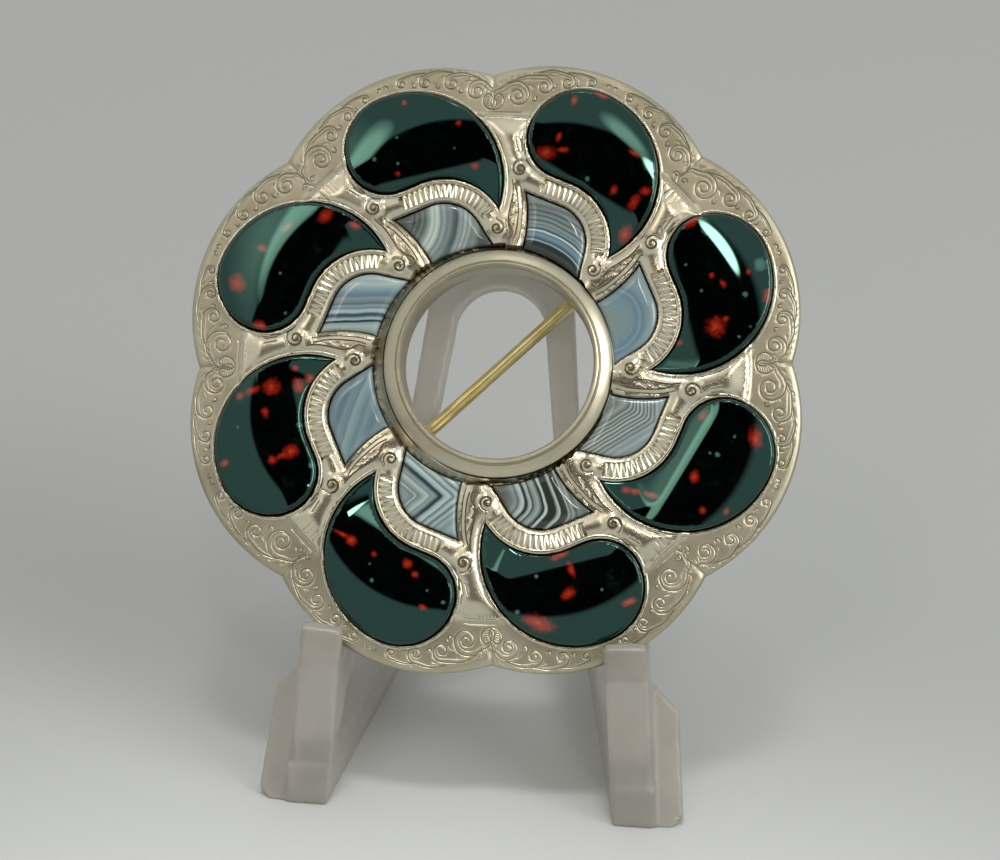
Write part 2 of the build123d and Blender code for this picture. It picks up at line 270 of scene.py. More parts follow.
def spiral(middle, outer, inner, start, turns, count=0):
    """A scroll that tightens from an outer to an inner radius, its points counted out or about a line
    step apart. Positive turns run anticlockwise."""
    length = abs(turns) * 2 * math.pi * math.sqrt(outer * inner)
    count = count or max(7, int(length / LINE_STEP * 1.4))
    share = np.linspace(0, 1, count)
    radius = outer * (inner / outer) ** share
    angles = math.radians(start) + 2 * math.pi * turns * share
    return np.array(middle) + radius[:, None] * np.stack((np.cos(angles), np.sin(angles)), 1)


def stroke(*points):
    """A smooth line through a few points."""
    points = np.array(points, float)
    padded = np.concatenate((2 * points[:1] - points[1:2], points, 2 * points[-1:] - points[-2:-1]))
    runs = []
    for a, b, c, d in zip(padded, padded[1:], padded[2:], padded[3:]):
        count = max(2, int(math.dist(b, c) / LINE_STEP) + 1)
        t = np.linspace(0, 1, count, endpoint=False)[:, None]
        runs.append(0.5 * (2 * b + (c - a) * t + (2 * a - 5 * b + 4 * c - d) * t ** 2
                           + (3 * b - a - 3 * c + d) * t ** 3))
    return np.concatenate(runs + [points[-1:]])


# The graver's cuts. Each is a line with half its width, its depth and how dark its bottom stays.
FINE = (0.05, 0.035, 0.42)
FAINT = (0.05, 0.014, 0.35)
SCROLL = (0.085, 0.07, 0.62)
EDGE_LINE = (0.075, 0.09, 0.72)
CREASE = (0.34, 0.13, 0.1)
BRIGHT = (0.14, 0.16, 0.45)

# The scrolls on one lobe of the rim. Each springs from a tail, given by two places, and winds round
# an eye: the eye's place, outer and inner radius, start in degrees, turns, and how thick its leaf is.
RIM_VINE = (
    (((-10.1, 24.4), (-10.45, 25.6)), (-8.15, 26.05), 1.80, 0.32, 170, -1.75, 0.50),
    (((-9.5, 27.0), (-8.4, 28.2)), (-6.15, 27.95), 1.15, 0.26, 125, -1.40, 0.38),
    (((-7.1, 29.0), (-5.7, 29.8)), (-3.95, 29.08), 0.92, 0.24, 100, -1.35, 0.30),
    (((-4.3, 30.05), (-3.1, 30.45)), (-1.75, 29.95), 0.56, 0.18, 95, -1.20, 0.20),
    (((10.35, 24.8), (10.6, 25.9)), (9.05, 26.30), 1.40, 0.28, -5, 1.60, 0.44),
    (((9.85, 27.3), (8.7, 28.5)), (7.0, 28.05), 1.05, 0.24, 60, 1.35, 0.36),
    (((7.6, 29.0), (6.2, 29.8)), (4.65, 29.12), 0.84, 0.22, 75, 1.30, 0.28),
    (((5.0, 30.1), (3.8, 30.45)), (2.35, 29.95), 0.56, 0.18, 80, 1.20, 0.20),
)
# Short barbs spring from the outer side of scrolls over this radius, at these shares of their line
BARBED = 0.7
BARBS = (0.10, 0.17, 0.24, 0.31, 0.38)
# Places that a scroll's line passes in one turn
WINDING_STEPS = 12
# Small curls between the scrolls and the stone: place, radius, start in degrees, turns
RIM_CURLS = (
    (-6.55, 26.35, 0.34, 70, -0.6), (-5.15, 28.30, 0.30, 60, -0.6), (-2.95, 29.30, 0.24, 60, -0.55),
    (7.65, 26.95, 0.32, 110, 0.6), (5.65, 28.25, 0.28, 110, 0.6), (3.45, 29.28, 0.22, 120, 0.55),
    (0.05, 30.25, 0.30, 200, -0.5), (0.62, 30.25, 0.30, -20, 0.5),
)
# The round ends of the ribbons, raised and cut with a scroll: place, radius, start in degrees, turns
SCROLL_BULBS = ((-4.95, 19.15, 1.0, 100, 1.6), (5.62, 12.45, 0.9, 60, -1.5))
# The leaf beside the agate: a plain edge to its left and a double one to its right, then its foot
LEAF_EDGES = (
    ((-5.25, 17.9), (-4.72, 16.8), (-4.42, 15.4), (-4.2, 14.3), (-3.6, 13.3)),
    ((-4.3, 17.6), (-3.55, 16.4), (-2.95, 14.8), (-2.5, 13.3), (-2.35, 12.2)),
    ((-4.65, 17.3), (-3.95, 16.2), (-3.35, 14.75), (-2.95, 13.4), (-2.85, 12.5)),
)
LEAF_FOOT = ((-3.75, 13.6), (-3.2, 13.0), (-3.15, 12.4), (-3.5, 12.2))
LEAF_FLICKS = ((-4.45, 16.6), (-4.1, 15.5), (-3.85, 14.5))
# Beside the notch, given along and out from its line: the crease, and below it either two leaves with
# a rib, one on each side, or a single stem between two curls
NOTCH_CREASE = ((0.0, 29.42), (0.0, 28.2))
NOTCH_LEAF = ((0, 25.8), (0.75, 26.1), (1.05, 26.9), (0.55, 27.5), (0.12, 27.2))
LEAF_RIB = ((0, 25.9), (0.28, 26.5), (0.12, 27.2))
NOTCH_STEM = ((0.1, 25.8), (-0.2, 26.5), (0.1, 27.3))
NOTCH_CURL = (0.5, 26.35)
# The neck's two top lines and its hatching, as radii and as degrees round the middle, and the three
# short cuts where it meets the ribbon
NECK_LINES = (WEB_REACH - 0.15, WEB_REACH + 0.38)
NECK_SPAN = (math.radians(113.4), math.radians(106.6))
HATCH_TOP = 24.8
HATCH_START = 112.2
HATCH_STEP = 1.15
NECK_NICKS = (((-6.6, 21.9), (-5.9, 20.9)), ((-6.1, 22.0), (-5.5, 21.0)), ((-5.6, 21.7), (-5.1, 20.9)))


def normals(line):
    """The direction square to a line's run, at each of its points."""
    ahead = np.gradient(line, axis=0)
    ahead /= np.linalg.norm(ahead, axis=1)[:, None]
    return np.stack((-ahead[:, 1], ahead[:, 0]), 1)


def leaf_bank(line, thick, length, side):
    """The inner bank of a scroll's leaf: it swells and dies away along the first part of the line."""
    part = line[:int(len(line) * length)]
    swell = thick * np.sin(np.linspace(0, math.pi, len(part))) ** 0.7
    return part + side * normals(part) * swell[:, None]


def notch_point(across, outward):
    """A place beside the notch at a sector's right, given along and out from the notch's line."""
    half = SECTOR / 2
    return (outward * math.sin(half) + across * math.cos(half),
            outward * math.cos(half) - across * math.sin(half))


def notch_line(pairs, side=1):
    """A smooth line through places beside the notch, mirrored across it where the side is -1."""
    return stroke(*[notch_point(side * across, outward) for across, outward in pairs])


# A ribbon runs level, then bends round the hollow. A rocked graver left its facets along the middle.
RIBBON_LEVEL = AGATE_CORNER + HOLLOW_CENTRE[0] - 1.6
RIBBON_MIDDLE = HOLLOW - RIBBON / 2
RIBBON_LENGTH = RIBBON_LEVEL + (math.pi / 2 - AGATE_TURN) * RIBBON_MIDDLE
CHANNEL_HALF = RIBBON / 2 - RIBBON_EDGE
CHANNEL_WALL = 0.03
WRIGGLES = 34
WRIGGLE = RIBBON_LENGTH / WRIGGLES


def on_ribbon(along, across):
    """A place on a sector's ribbon: along its middle from its level end, and across to the stone."""
    radius = RIBBON_MIDDLE + across
    past = along - RIBBON_LEVEL
    if past < 0:
        return (HOLLOW_CENTRE[0] + past, HOLLOW_CENTRE[1] + radius)
    angle = math.pi / 2 - past / RIBBON_MIDDLE
    return (HOLLOW_CENTRE[0] + radius * math.cos(angle), HOLLOW_CENTRE[1] + radius * math.sin(angle))


def rim_cuts(draw):
    """The scrolls of one lobe's rim, each with its leaf and barbs, and the curls between them."""
    for tail, middle, outer, inner, start, turns, thick in RIM_VINE:
        slide = np.array((draw.uniform(-0.1, 0.1), draw.uniform(-0.06, 0.06)))
        eye_place = np.array(middle) + slide
        size = outer * draw.uniform(0.94, 1.04)
        first = start + draw.uniform(-8, 8)
        wound = turns + draw.uniform(-0.08, 0.08)
        winding = spiral(eye_place, size, inner, first, wound, max(6, int(abs(wound) * WINDING_STEPS)))
        line = stroke(*[np.array(place) + slide for place in tail], *winding)
        yield line, *SCROLL
        yield leaf_bank(line, thick, draw.uniform(0.56, 0.64), math.copysign(1, turns)), *FINE
        for share in BARBS if outer > BARBED else ():
            k = int(len(line) * share)
            away = (line[k] - eye_place) / math.dist(line[k], eye_place)
            on = (line[k + 1] - line[k]) / math.dist(line[k + 1], line[k])
            reach = 0.3 * outer ** 0.5
            yield stroke(line[k] + 0.13 * away, line[k] + reach * (away + 0.5 * on),
                         line[k] + reach * (1.3 * away + 1.5 * on)), *FINE
    for x, y, radius, start, turns in RIM_CURLS:
        yield spiral((x, y), radius, radius * 0.45, start + draw.uniform(-15, 15), turns), *SCROLL


def notch_cuts(number, draw):
    """The crease that runs in from the notch, hatching beside it, and two leaves or curls below it."""
    yield notch_line(NOTCH_CREASE), *CREASE
    for i in range(6):
        lean = (i - 2.5) * 0.2
        foot = 27.6 + draw.uniform(-0.2, 0.2)
        yield notch_line(((lean, 28.5 - abs(lean) * 0.5), (lean * 1.6, foot))), *FINE
    for side in (-1, 1) if number % 2 else ():
        yield notch_line(NOTCH_LEAF, side), *SCROLL
        yield notch_line(LEAF_RIB, side), *SCROLL
        for i in range(5):
            low = 26.2 + 0.22 * i
            yield notch_line(((0.28 + 0.02 * i, low), (0.85 - 0.05 * i, low + 0.1)), side), *FINE
    if number % 2 == 0:
        yield notch_line(NOTCH_STEM), *SCROLL
        for side in (-1, 1):
            middle = notch_point(side * NOTCH_CURL[0], NOTCH_CURL[1])
            yield spiral(middle, 0.36, 0.14, 90 - side * 90, side * 0.9), *SCROLL


def neck_cuts(number, draw):
    """Two lines across the neck's top, on every other neck some upright hatching, and the nicks."""
    for reach in NECK_LINES:
        yield arc((0, 0), reach, *NECK_SPAN), *FINE
    for i in range(number % 2 * 4):
        angle = math.radians(HATCH_START - HATCH_STEP * i)
        ends = (HATCH_TOP, HATCH_TOP - draw.uniform(0.9, 1.6))
        yield [(reach * math.cos(angle), reach * math.sin(angle)) for reach in ends], *FAINT
    for nick in NECK_NICKS:
        yield stroke(*nick), *SCROLL


def leaf_cuts():
    """The scrolls on the ribbon's two ends, and the leaf with its edges, flicks and foot."""
    for x, y, reach, start, turns in SCROLL_BULBS:
        yield spiral((x, y), reach - 0.05, 0.2, start, turns), *BRIGHT
    for edge in LEAF_EDGES:
        yield stroke(*edge), *EDGE_LINE
    for x, y in LEAF_FLICKS:
        yield stroke((x + 0.25, y + 0.35), (x + 0.1, y - 0.1), (x + 0.2, y - 0.6)), *FINE
    yield stroke(*LEAF_FOOT), *EDGE_LINE


def sector_cuts(number, draw):
    """All the engraving of one sector, as (line, half width, depth, darkness)."""
    return [*rim_cuts(draw), *notch_cuts(number, draw), *neck_cuts(number, draw), *leaf_cuts()]


def wriggle_lines():
    """The ridges and folds of the facets that a rocked graver left along a ribbon's channel."""
    half = CHANNEL_HALF - CHANNEL_WALL
    lines = []
    for i in range(WRIGGLES + 1):
        side = half if i % 2 else -half
        lines.append([on_ribbon(i * WRIGGLE, across) for across in (-half, 0, half)])
        if i < WRIGGLES:
            share = ((0, 1), (0.5, 0), (1, -1))
            lines.append([on_ribbon((i + part) * WRIGGLE, side * way) for part, way in share])
    return lines


def within(points, sides):
    """Which points lie in the region that closed runs of sides bound."""
    x, y = points.T
    hit = np.zeros(len(points), bool)
    for (ax, ay), (bx, by) in sides:
        if ay != by:
            hit ^= ((ay > y) != (by > y)) & (x < ax + (bx - ax) * (y - ay) / (by - ay))
    return hit


def inside(points, loop):
    """Which points lie inside a closed loop."""
    found = np.zeros(len(points), bool)
    near = np.flatnonzero(((points > loop.min(0)) & (points < loop.max(0))).all(1))
    found[near] = within(points[near], zip(loop, np.roll(loop, -1, 0)))
    return found


def distance(points, line, reach, closed=False):
    """How far each point is from a line, and the reach itself for any that is further."""
    line = np.asarray(line, float)
    if closed:
        line = np.concatenate((line, line[:1]))
    near = np.flatnonzero(((points > line.min(0) - reach) & (points < line.max(0) + reach)).all(1))
    least = np.full(len(near), float(reach))
    some = points[near]
    for a, b in zip(line, line[1:]):
        run = b - a
        share = np.clip(((some - a) @ run) / (run @ run), 0, 1)
        least = np.minimum(least, np.hypot(*(some - a - share[:, None] * run).T))
    found = np.full(len(points), float(reach))
    found[near] = least
    return found


def beside(line, by):
    """A line's two banks, and its ends left open."""
    line = np.asarray(line, float)
    square = normals(line) * by
    return line + square, line - square


class Drawing:
    """Closed loops, points and lines of a flat drawing, to be filled with triangles."""

    def __init__(self, loops):
        self.points = []
        self.edges = []
        for loop in loops:
            self.add(loop, closed=True)

    def add(self, line, closed=False):
        first = len(self.points)
        self.points += [Vector(point) for point in line]
        count = len(line)
        self.edges += [(first + i, first + i + 1) for i in range(count - 1)]
        if closed:
            self.edges.append((first + count - 1, first))

    def fill(self):
        points, _, triangles, *_ = delaunay_2d_cdt(self.points, self.edges, [], 0, 1e-4)
        return np.array([point[:] for point in points]), np.array(triangles)


def grains(size, step):
    """Points spread evenly over a square, in rows that are set off by half a step."""
    rows = []
    for j, y in enumerate(np.arange(-size, size, step * EVEN_TRIANGLE)):
        x = np.arange(-size + (j % 2) * step / 2, size, step)
        rows.append(np.stack((x, np.full(len(x), y)), 1))
    return np.concatenate(rows)


def new_piece(name, points, faces, sharp=40):
    """A mesh piece drawn in millimetres in the brooch's frame, its points set where the brooch leans.

    It is shaded smooth but for edges that bend by more than the sharp angle."""
    mesh = bpy.data.meshes.new(name)
    mesh.from_pydata([tuple(point * MM) for point in np.asarray(points, float)], [], faces)
    mesh.validate()
    mesh.transform(brooch_place)
    mesh.polygons.foreach_set("use_smooth", [True] * len(mesh.polygons))
    mesh.set_sharp_from_angle(angle=math.radians(sharp))
    return into_scene(name, mesh)


draw = random.Random(ENGRAVER_SEED)
blood_cells = [in_sector(comma(0), i) for i in range(SECTORS)]
agate_cells = [in_sector(agate_outline(), i) for i in range(SECTORS)]
rim_loop = round_lobes(0)
ring_hole = arc(RING_PLACE, RING_RADIUS + SEAT_GAP, 0, 2 * math.pi)[:-1]
cuts = []
for i in range(SECTORS):
    cuts += [(in_sector(line, i), *rest) for line, *rest in sector_cuts(i, draw)]

drawing = Drawing([
    rim_loop, ring_hole, *blood_cells, *agate_cells, *[round_lobes(inset) for inset in ROLL_LINES],
    *[widened(loop, share * LIP_WIDTH) for loop in blood_cells for share in LIP_LINES]])
for cell in range(SECTORS):
    for radius in (RIBBON_MIDDLE - CHANNEL_HALF, RIBBON_MIDDLE + CHANNEL_HALF):
        for bank in (-CHANNEL_WALL, CHANNEL_WALL):
            curve = arc(HOLLOW_CENTRE, radius + bank, AGATE_TURN, math.pi / 2)
            left = (HOLLOW_CENTRE[0] - RIBBON_LEVEL, HOLLOW_CENTRE[1] + radius + bank)
            drawing.add(in_sector(np.concatenate((curve, [left])), cell))
    for line in wriggle_lines():
        drawing.add(in_sector(line, cell))
for reach in (WEB_REACH - WEB_RAMP / 2, WEB_REACH + WEB_RAMP / 2):
    for i in range(SECTORS):
        drawing.add(in_sector(arc((0, 0), reach, *RAMP_SPAN), i))
for line, half, depth, dark in cuts:
    drawing.add(line)
    for bank in beside(line, half):
        drawing.add(bank)
fill = grains(RIM_RADIUS, GRAIN)
keep = inside(fill, rim_loop) & ~inside(fill, ring_hole)
for loop in blood_cells + agate_cells:
    keep &= ~inside(fill, loop)
drawing.points += [Vector(point) for point in fill[keep]]
flat, triangles = drawing.fill()


def quarter_round(share):
    """Height of a rounded edge from 0 at its foot to 1 where it levels out."""
    share = np.clip(share, 0, 1)
    return np.sqrt(1 - (1 - share) ** 2)


def raised(flat, triangles, level, heights):
    """A closed body: each triangle at its level's height, walls between levels, and a flat back.

    Level 0 is outside the body, and its height is the back's. Returns points, faces and, for each
    point, its place in the drawing and its level."""
    places = {}
    points = []
    source = []

    def at(k, i):
        if (k, i) not in places:
            places[k, i] = len(points)
            z = heights[k][i] if np.ndim(heights[k]) else heights[k]
            points.append((flat[i][0], flat[i][1], z))
            source.append((i, k))
        return places[k, i]

    faces = []
    owner = {}
    for (a, b, c), k in zip(triangles.tolist(), level.tolist()):
        if k:
            faces.append((at(k, a), at(k, b), at(k, c)))
            owner.update({(a, b): k, (b, c): k, (c, a): k})
    edge = []
    for (a, b), k in owner.items():
        other = owner.get((b, a), 0)
        if k > other:
            faces.append((at(k, b), at(k, a), at(other, a), at(other, b)))
        if other == 0:
            edge.append((a, b))
    ends = sorted({i for pair in edge for i in pair})
    number = {i: n for n, i in enumerate(ends)}
    found = delaunay_2d_cdt([Vector(flat[i]) for i in ends], [(number[a], number[b]) for a, b in edge],
                            [], 0, 1e-6)
    assert len(found[0]) == len(ends)
    middles = np.array([np.mean([flat[ends[i]] for i in face], 0) for face in found[2]])
    solid = within(middles, [(flat[a], flat[b]) for a, b in edge])
    faces += [tuple(at(0, ends[i]) for i in reversed(face)) for face, kept in zip(found[2], solid) if kept]
    return np.array(points), faces, np.array(source)


def paint(obj, name, values):
    """A number for each vertex, for the material to read."""
    layer = obj.data.attributes.new(name, "FLOAT", "POINT")
    layer.data.foreach_set("value", np.ascontiguousarray(values, np.float32))


middles = flat[triangles].mean(1)
level = np.where(inside(middles, rim_loop) & ~inside(middles, ring_hole), 2, 0)
for loop in blood_cells + agate_cells:
    level[(level == 2) & inside(middles, loop)] = 1

from_middle = np.hypot(*flat.T)
height = WEB_RISE * np.clip((WEB_REACH + WEB_RAMP / 2 - from_middle) / WEB_RAMP, 0, 1)
height -= ROLL_DROP * (1 - quarter_round(distance(flat, rim_loop, ROLL_WIDTH, closed=True) / ROLL_WIDTH))
lip = np.zeros(len(flat))
nearest = np.full(len(flat), PILLOW_REACH)
for loop in blood_cells:
    away = distance(flat, loop, PILLOW_REACH, closed=True)
    share = np.minimum(away / LIP_WIDTH, 1)
    lip = np.maximum(lip, np.sqrt(np.clip(1 - (2 * share - 1) ** 2, 0, 1)) * (share < 1))
    nearest = np.minimum(nearest, away)
for loop in agate_cells:
    nearest = np.minimum(nearest, distance(flat, loop, PILLOW_REACH, closed=True))
neck = np.clip((PILLOW_END - from_middle) / PILLOW_FADE, 0, 1)
neck *= np.clip((nearest - PILLOW_START) / PILLOW_BLEND, 0, 1)
height += LIP_RISE * lip + PILLOW * neck * (1 - (1 - nearest / PILLOW_REACH) ** 2)
facet_tarnish_and_shade = np.zeros(len(flat))
for i in range(SECTORS):
    # The sector that mirrors this one's number turns the drawing back to where this one was drawn
    x, y = (in_sector(flat, -1 - i) - HOLLOW_CENTRE).T
    across = (np.where(x < 0, y, np.hypot(x, y)) - RIBBON_MIDDLE) / CHANNEL_HALF
    along = np.where(x < 0, x, (math.pi / 2 - np.arctan2(y, x)) * RIBBON_MIDDLE) + RIBBON_LEVEL
    sunk = (np.abs(across) < 1) & (y > 0) & (along > -1e-6) & (along < RIBBON_LENGTH + 1e-6)
    ridge = 1 - 2 * np.abs(along / WRIGGLE % 2 - 1)
    fall = np.abs(across - ridge)[sunk] / 2
    stamp = np.array([draw.uniform(0.75, 1.25) for _ in range(WRIGGLES + 2)])
    fall *= stamp[np.clip((along[sunk] / WRIGGLE + 0.5).astype(int), 0, WRIGGLES + 1)]
    height[sunk] = WEB_RISE - CHANNEL_DROP - FACET_FALL * fall
    # The facets' feet are painted dark: tarnish, and painted shade between the facets
    facet_tarnish_and_shade[sunk] = FACET_TARNISH_AND_SHADE * np.clip(fall - 0.3, 0, 1)
    for bulb_x, bulb_y, reach, *_ in SCROLL_BULBS:
        away = np.hypot(x + HOLLOW_CENTRE[0] - bulb_x, y + HOLLOW_CENTRE[1] - bulb_y) / reach
        height += SCROLL_BULB * np.sqrt(np.clip(1 - away ** 2, 0, 1))
groove = np.zeros(len(flat))
tarnish_and_shade = facet_tarnish_and_shade
for line, half, depth, dark in cuts:
    share = 1 - distance(flat, line, half) / half
    groove = np.maximum(groove, depth * share)
    tarnish_and_shade = np.maximum(tarnish_and_shade, dark * share)
height -= groove

# The solder between the agates and the ring: a low, crumbly trench, painted dark as dirt and as the
# painted shade of the gap, and a cleaner fillet that rises against the ring
SOLDER_REACH = AGATE_INNER + 0.06
SOLDER_LEVEL = -0.3
SOLDER_CRUMB = 0.08
SOLDER_POLISH = 0.3
FILLET_IN = 0.3
FILLET_TOP = 0.3
FILLET_SLOPE = 0.9
FILLET_CRUMB = 0.04
FILLET_DIRT = 0.12
solder = from_middle < SOLDER_REACH
fillet = solder & (SOLDER_REACH - from_middle > FILLET_IN)
from_ring = np.hypot(*(flat - RING_PLACE).T) - RING_RADIUS
rough = np.array([draw.uniform(0, 1) for _ in range(len(flat))])
height[solder] = SOLDER_LEVEL - SOLDER_CRUMB * rough[solder]
height[fillet] = np.maximum(height, FILLET_TOP - FILLET_SLOPE * from_ring + FILLET_CRUMB * rough)[fillet]
# The trench is painted fully dark, as dirt and as painted shade in the gap beside the ring; the fillet only
# faintly
dirt_and_shade = np.where(solder, np.where(fillet, FILLET_DIRT, 1.0), 0.0)

points, faces, source = raised(flat, triangles, level, (-PLATE_THICK, -CELL_DEPTH, height))
plate = new_piece("engraved_silver_plate", points, faces)
on_top = source[:, 1] == 2
# The cells' floors are painted fully dark: painted shade in the gap round each stone, with tarnish
paint(plate, "tarnish_and_shade", np.where(on_top, tarnish_and_shade[source[:, 0]], np.where(source[:, 1] == 1, 1.0, 0.0)))
paint(plate, "dirt_and_shade", np.where(on_top, dirt_and_shade[source[:, 0]], 0.0))
shine = np.maximum(lip, NECK_POLISH * (from_middle < WEB_REACH)) * np.where(solder, SOLDER_POLISH, 1.0)
paint(plate, "polish", np.where(on_top, shine[source[:, 0]], 0.0))


def linear(code):
    """An sRGB hex colour as linear light, with an alpha of 1."""
    values = [int(code[i:i + 2], 16) / 255 for i in (1, 3, 5)]
    return tuple(v / 12.92 if v <= 0.04045 else ((v + 0.055) / 1.055) ** 2.4 for v in values) + (1.0,)


def node(tree, kind, links=(), out=None, stops=(), **settings):
    """Adds a node, sets what is named and links or fills its inputs. Gives its first output in use, or
    the one that out names. A colour ramp has stops, each a place and an sRGB hex colour."""
    made = tree.nodes.new("ShaderNode" + kind)
    for name, value in settings.items():
        setattr(made, name, value)
    for name, value in dict(links).items():
        if isinstance(value, bpy.types.NodeSocket):
            tree.links.new(value, made.inputs[name])
        else:
            made.inputs[name].default_value = value
    if stops:
        band = made.color_ramp.elements
        band[0].position, band[1].position = stops[0][0], stops[-1][0]
        band[0].color, band[1].color = linear(stops[0][1]), linear(stops[-1][1])
        for place, code in stops[1:-1]:
            band.new(place).color = linear(code)
    return made.outputs[out] if out else next((end for end in made.outputs if end.enabled), None)


def new_material(name, **shader):
    """A material with one Principled shader, whose named inputs are set."""
    material = bpy.data.materials.new(name)
    material.use_nodes = True
    tree = material.node_tree
    surface = tree.nodes["Principled BSDF"]
    for label, value in shader.items():
        surface.inputs[label.replace("_", " ")].default_value = value
    return material, tree, surface


# Sterling silver, old and hand polished: a soft satin with fine rub marks, warm from age, dark brown
# tarnish left in the bottoms of the cuts where no cloth reaches, and brighter on the raised edges. The
# same dark brown is painted shade as well: with tarnish on the floors of the cells, which show in the
# gap round each stone, and at the feet of the ribbons' facets, and with dirt in the solder's trench
# beside the ring. Its rub marks and the crumbs of dirt are finer on the real piece, and drawn as coarse
# as they need to show.
AGE_CLOUD = 5.556
DIRT_CRUMB = 0.3846
RUB_MARK = 0.4545
HAMMER_WAVE = 3.03

silver, tree, surface = new_material("old_sterling_silver", Metallic=1.0)
place = node(tree, "TexCoord", out="Object")
tarnish_and_shade_value, polish_value, dirt_and_shade_value = [
    node(tree, "Attribute", out="Fac", attribute_name=name) for name in ("tarnish_and_shade", "polish", "dirt_and_shade")]
cloud = node(tree, "TexNoise", {"Vector": place, "Scale": 1 / (AGE_CLOUD * MM), "Detail": 4.0,
                                "Roughness": 0.6})
metal = node(tree, "ValToRGB", {"Fac": cloud}, stops=((0.3, "#A59F87"), (0.55, "#B5AF97"), (0.8, "#C4BFA8")))
bright = node(tree, "Mix", {"Factor": polish_value, "A": metal, "B": linear("#D0CAB2")}, data_type="RGBA")
crumbs = node(tree, "TexNoise", {"Vector": place, "Scale": 1 / (DIRT_CRUMB * MM), "Detail": 3.0,
                                 "Roughness": 0.7})
patchy = node(tree, "MapRange", {"Value": crumbs, "From Min": 0.42, "From Max": 0.58})
# The dark brown mixes tarnish and dirt with painted shade: the cuts' tarnish, the cells' floors and the
# facets' feet, and the solder's trench in crumbly patches
patchy_dirt_and_shade = node(tree, "Math", {0: dirt_and_shade_value, 1: patchy}, operation="MULTIPLY")
tarnish_dirt_and_shade = node(tree, "Math", {0: dirt_and_shade_value, 1: 0.35, 2: tarnish_and_shade_value}, operation="MULTIPLY_ADD")
dark = node(tree, "Math", {0: patchy_dirt_and_shade, 1: 0.6, 2: tarnish_dirt_and_shade}, operation="MULTIPLY_ADD", use_clamp=True)
tarnished_and_shaded = node(tree, "Mix", {"Factor": dark, "A": bright, "B": linear("#38291C")}, data_type="RGBA")
tree.links.new(tarnished_and_shaded, surface.inputs["Base Color"])
satin = node(tree, "MapRange", {"Value": polish_value, "To Min": 0.34, "To Max": 0.2})
rubbed = node(tree, "Math", {0: cloud, 1: 0.08, 2: satin}, operation="MULTIPLY_ADD")
tree.links.new(rubbed, surface.inputs["Roughness"])
rub = node(tree, "TexNoise", {"Vector": place, "Scale": 1 / (RUB_MARK * MM), "Detail": 2.0})
waves = node(tree, "TexNoise", {"Vector": place, "Scale": 1 / (HAMMER_WAVE * MM), "Detail": 1.0})
wavy = node(tree, "Bump", {"Height": waves, "Strength": 1.0, "Distance": 0.05 * MM})
bump = node(tree, "Bump", {"Height": rub, "Strength": 0.12, "Distance": 0.02 * MM, "Normal": wavy})
tree.links.new(bump, surface.inputs["Normal"])


def make_silver(piece, polish=0.0):
    """Gives a piece the silver and lets it stand for the setting. A piece with nothing painted on it has
    no tarnish and one even polish."""
    for name, value in (("tarnish_and_shade", 0.0), ("polish", polish)):
        if name not in piece.data.attributes:
            paint(piece, name, np.full(len(piece.data.vertices), value))
    piece.data.materials.append(silver)
    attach(piece, "root")
    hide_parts("silver_setting")


make_silver(plate)


# Centre ring
# The silver ring that frames the open centre, turned with a sloped band and a bright bead at its lip,
# and soldered in a little off centre.
RING_PROFILE = (
    (9.50, -3.0), (11.35, -3.0), (11.35, 0.38), (11.27, 0.5),
    (10.6, 0.80), (10.24, 0.98), (10.16, 0.94), (10.08, 1.0), (9.98, 1.22), (9.84, 1.3), (9.66, 1.28),
    (9.54, 1.16), (9.50, 0.95),
)
RING_STEPS = 240


def turned(profile, steps, shut=True):
    """A body turned about the Z axis from a profile of radius and height, closed or with pole ends."""
    points = []
    faces = []
    rows = len(profile)
    for i in range(steps):
        angle = 2 * math.pi * i / steps
        points += [(r * math.cos(angle), r * math.sin(angle), z) for r, z in profile]
        for j in range(rows if shut else rows - 1):
            k = (j + 1) % rows
            near, far = i * rows, (i + 1) % steps * rows
            faces.append((near + j, far + j, far + k, near + k))
    if not shut:
        faces.append([i * rows for i in reversed(range(steps))])
        faces.append([i * rows + rows - 1 for i in range(steps)])
    return np.array(points), faces


points, faces = turned(RING_PROFILE, RING_STEPS)
points[:, :2] += RING_PLACE
make_silver(new_piece("centre_ring", points, faces, sharp=35), polish=0.35)


# Hinge ears and catch
# Sterling silver findings on the back, plain and hidden: two ears filed round at their ends, which
# hold the pin's rivet, and a strip bent into a hook that keeps its point. All are soldered on.
PIN_ANGLE = math.radians(42.0)
HINGE_REACH = 22.0
CATCH_REACH = 20.5
KNUCKLE_WIDTH = 1.3
PIN_GAP = 0.12
EAR_THICK = 0.8
EAR_LENGTH = 2.9
RIVET_RADIUS = 0.45
PIN_RADIUS = 0.65
CATCH_LENGTH = 2.2
CATCH_WALL = 0.7
ROOT = -PLATE_THICK + 0.3
FILED = 0.12
# The hook's bend starts at 120 and ends at 328 degrees, and its inner side runs on to 60 degrees. These
# are the unit steps up to its start, and out and down to its mouth.
BEND_UP = 0.866
MOUTH_OUT = 0.848
MOUTH_DOWN = 0.53


def on_pin_line(along, across, height):
    """Points given along and across the pin's line, as places in the brooch's frame."""
    cosine, sine = math.cos(PIN_ANGLE), math.sin(PIN_ANGLE)
    return np.stack((along * cosine - across * sine, along * sine + across * cosine, height), 1)


def cut_sheet(outline, holes, thick):
    """A flat body with holes, its outline drawn in its own plane and half its thickness to each side."""
    flat, triangles = Drawing([outline] + holes).fill()
    middles = flat[triangles].mean(1)
    kept = inside(middles, np.asarray(outline))
    for hole in holes:
        kept &= ~inside(middles, np.asarray(hole))
    return raised(flat, triangles, kept.astype(int), (-thick / 2, thick / 2))[:2]


def make_finding(name, placed, faces):
    """A silver piece on the back, its edges rounded as a file leaves them."""
    piece = new_piece(name, placed, faces)
    bevel = piece.modifiers.new("filed", "BEVEL")
    bevel.width = FILED * MM
    bevel.segments = 2
    bevel.limit_method = "ANGLE"
    bevel.angle_limit = math.radians(40)
    make_silver(piece)


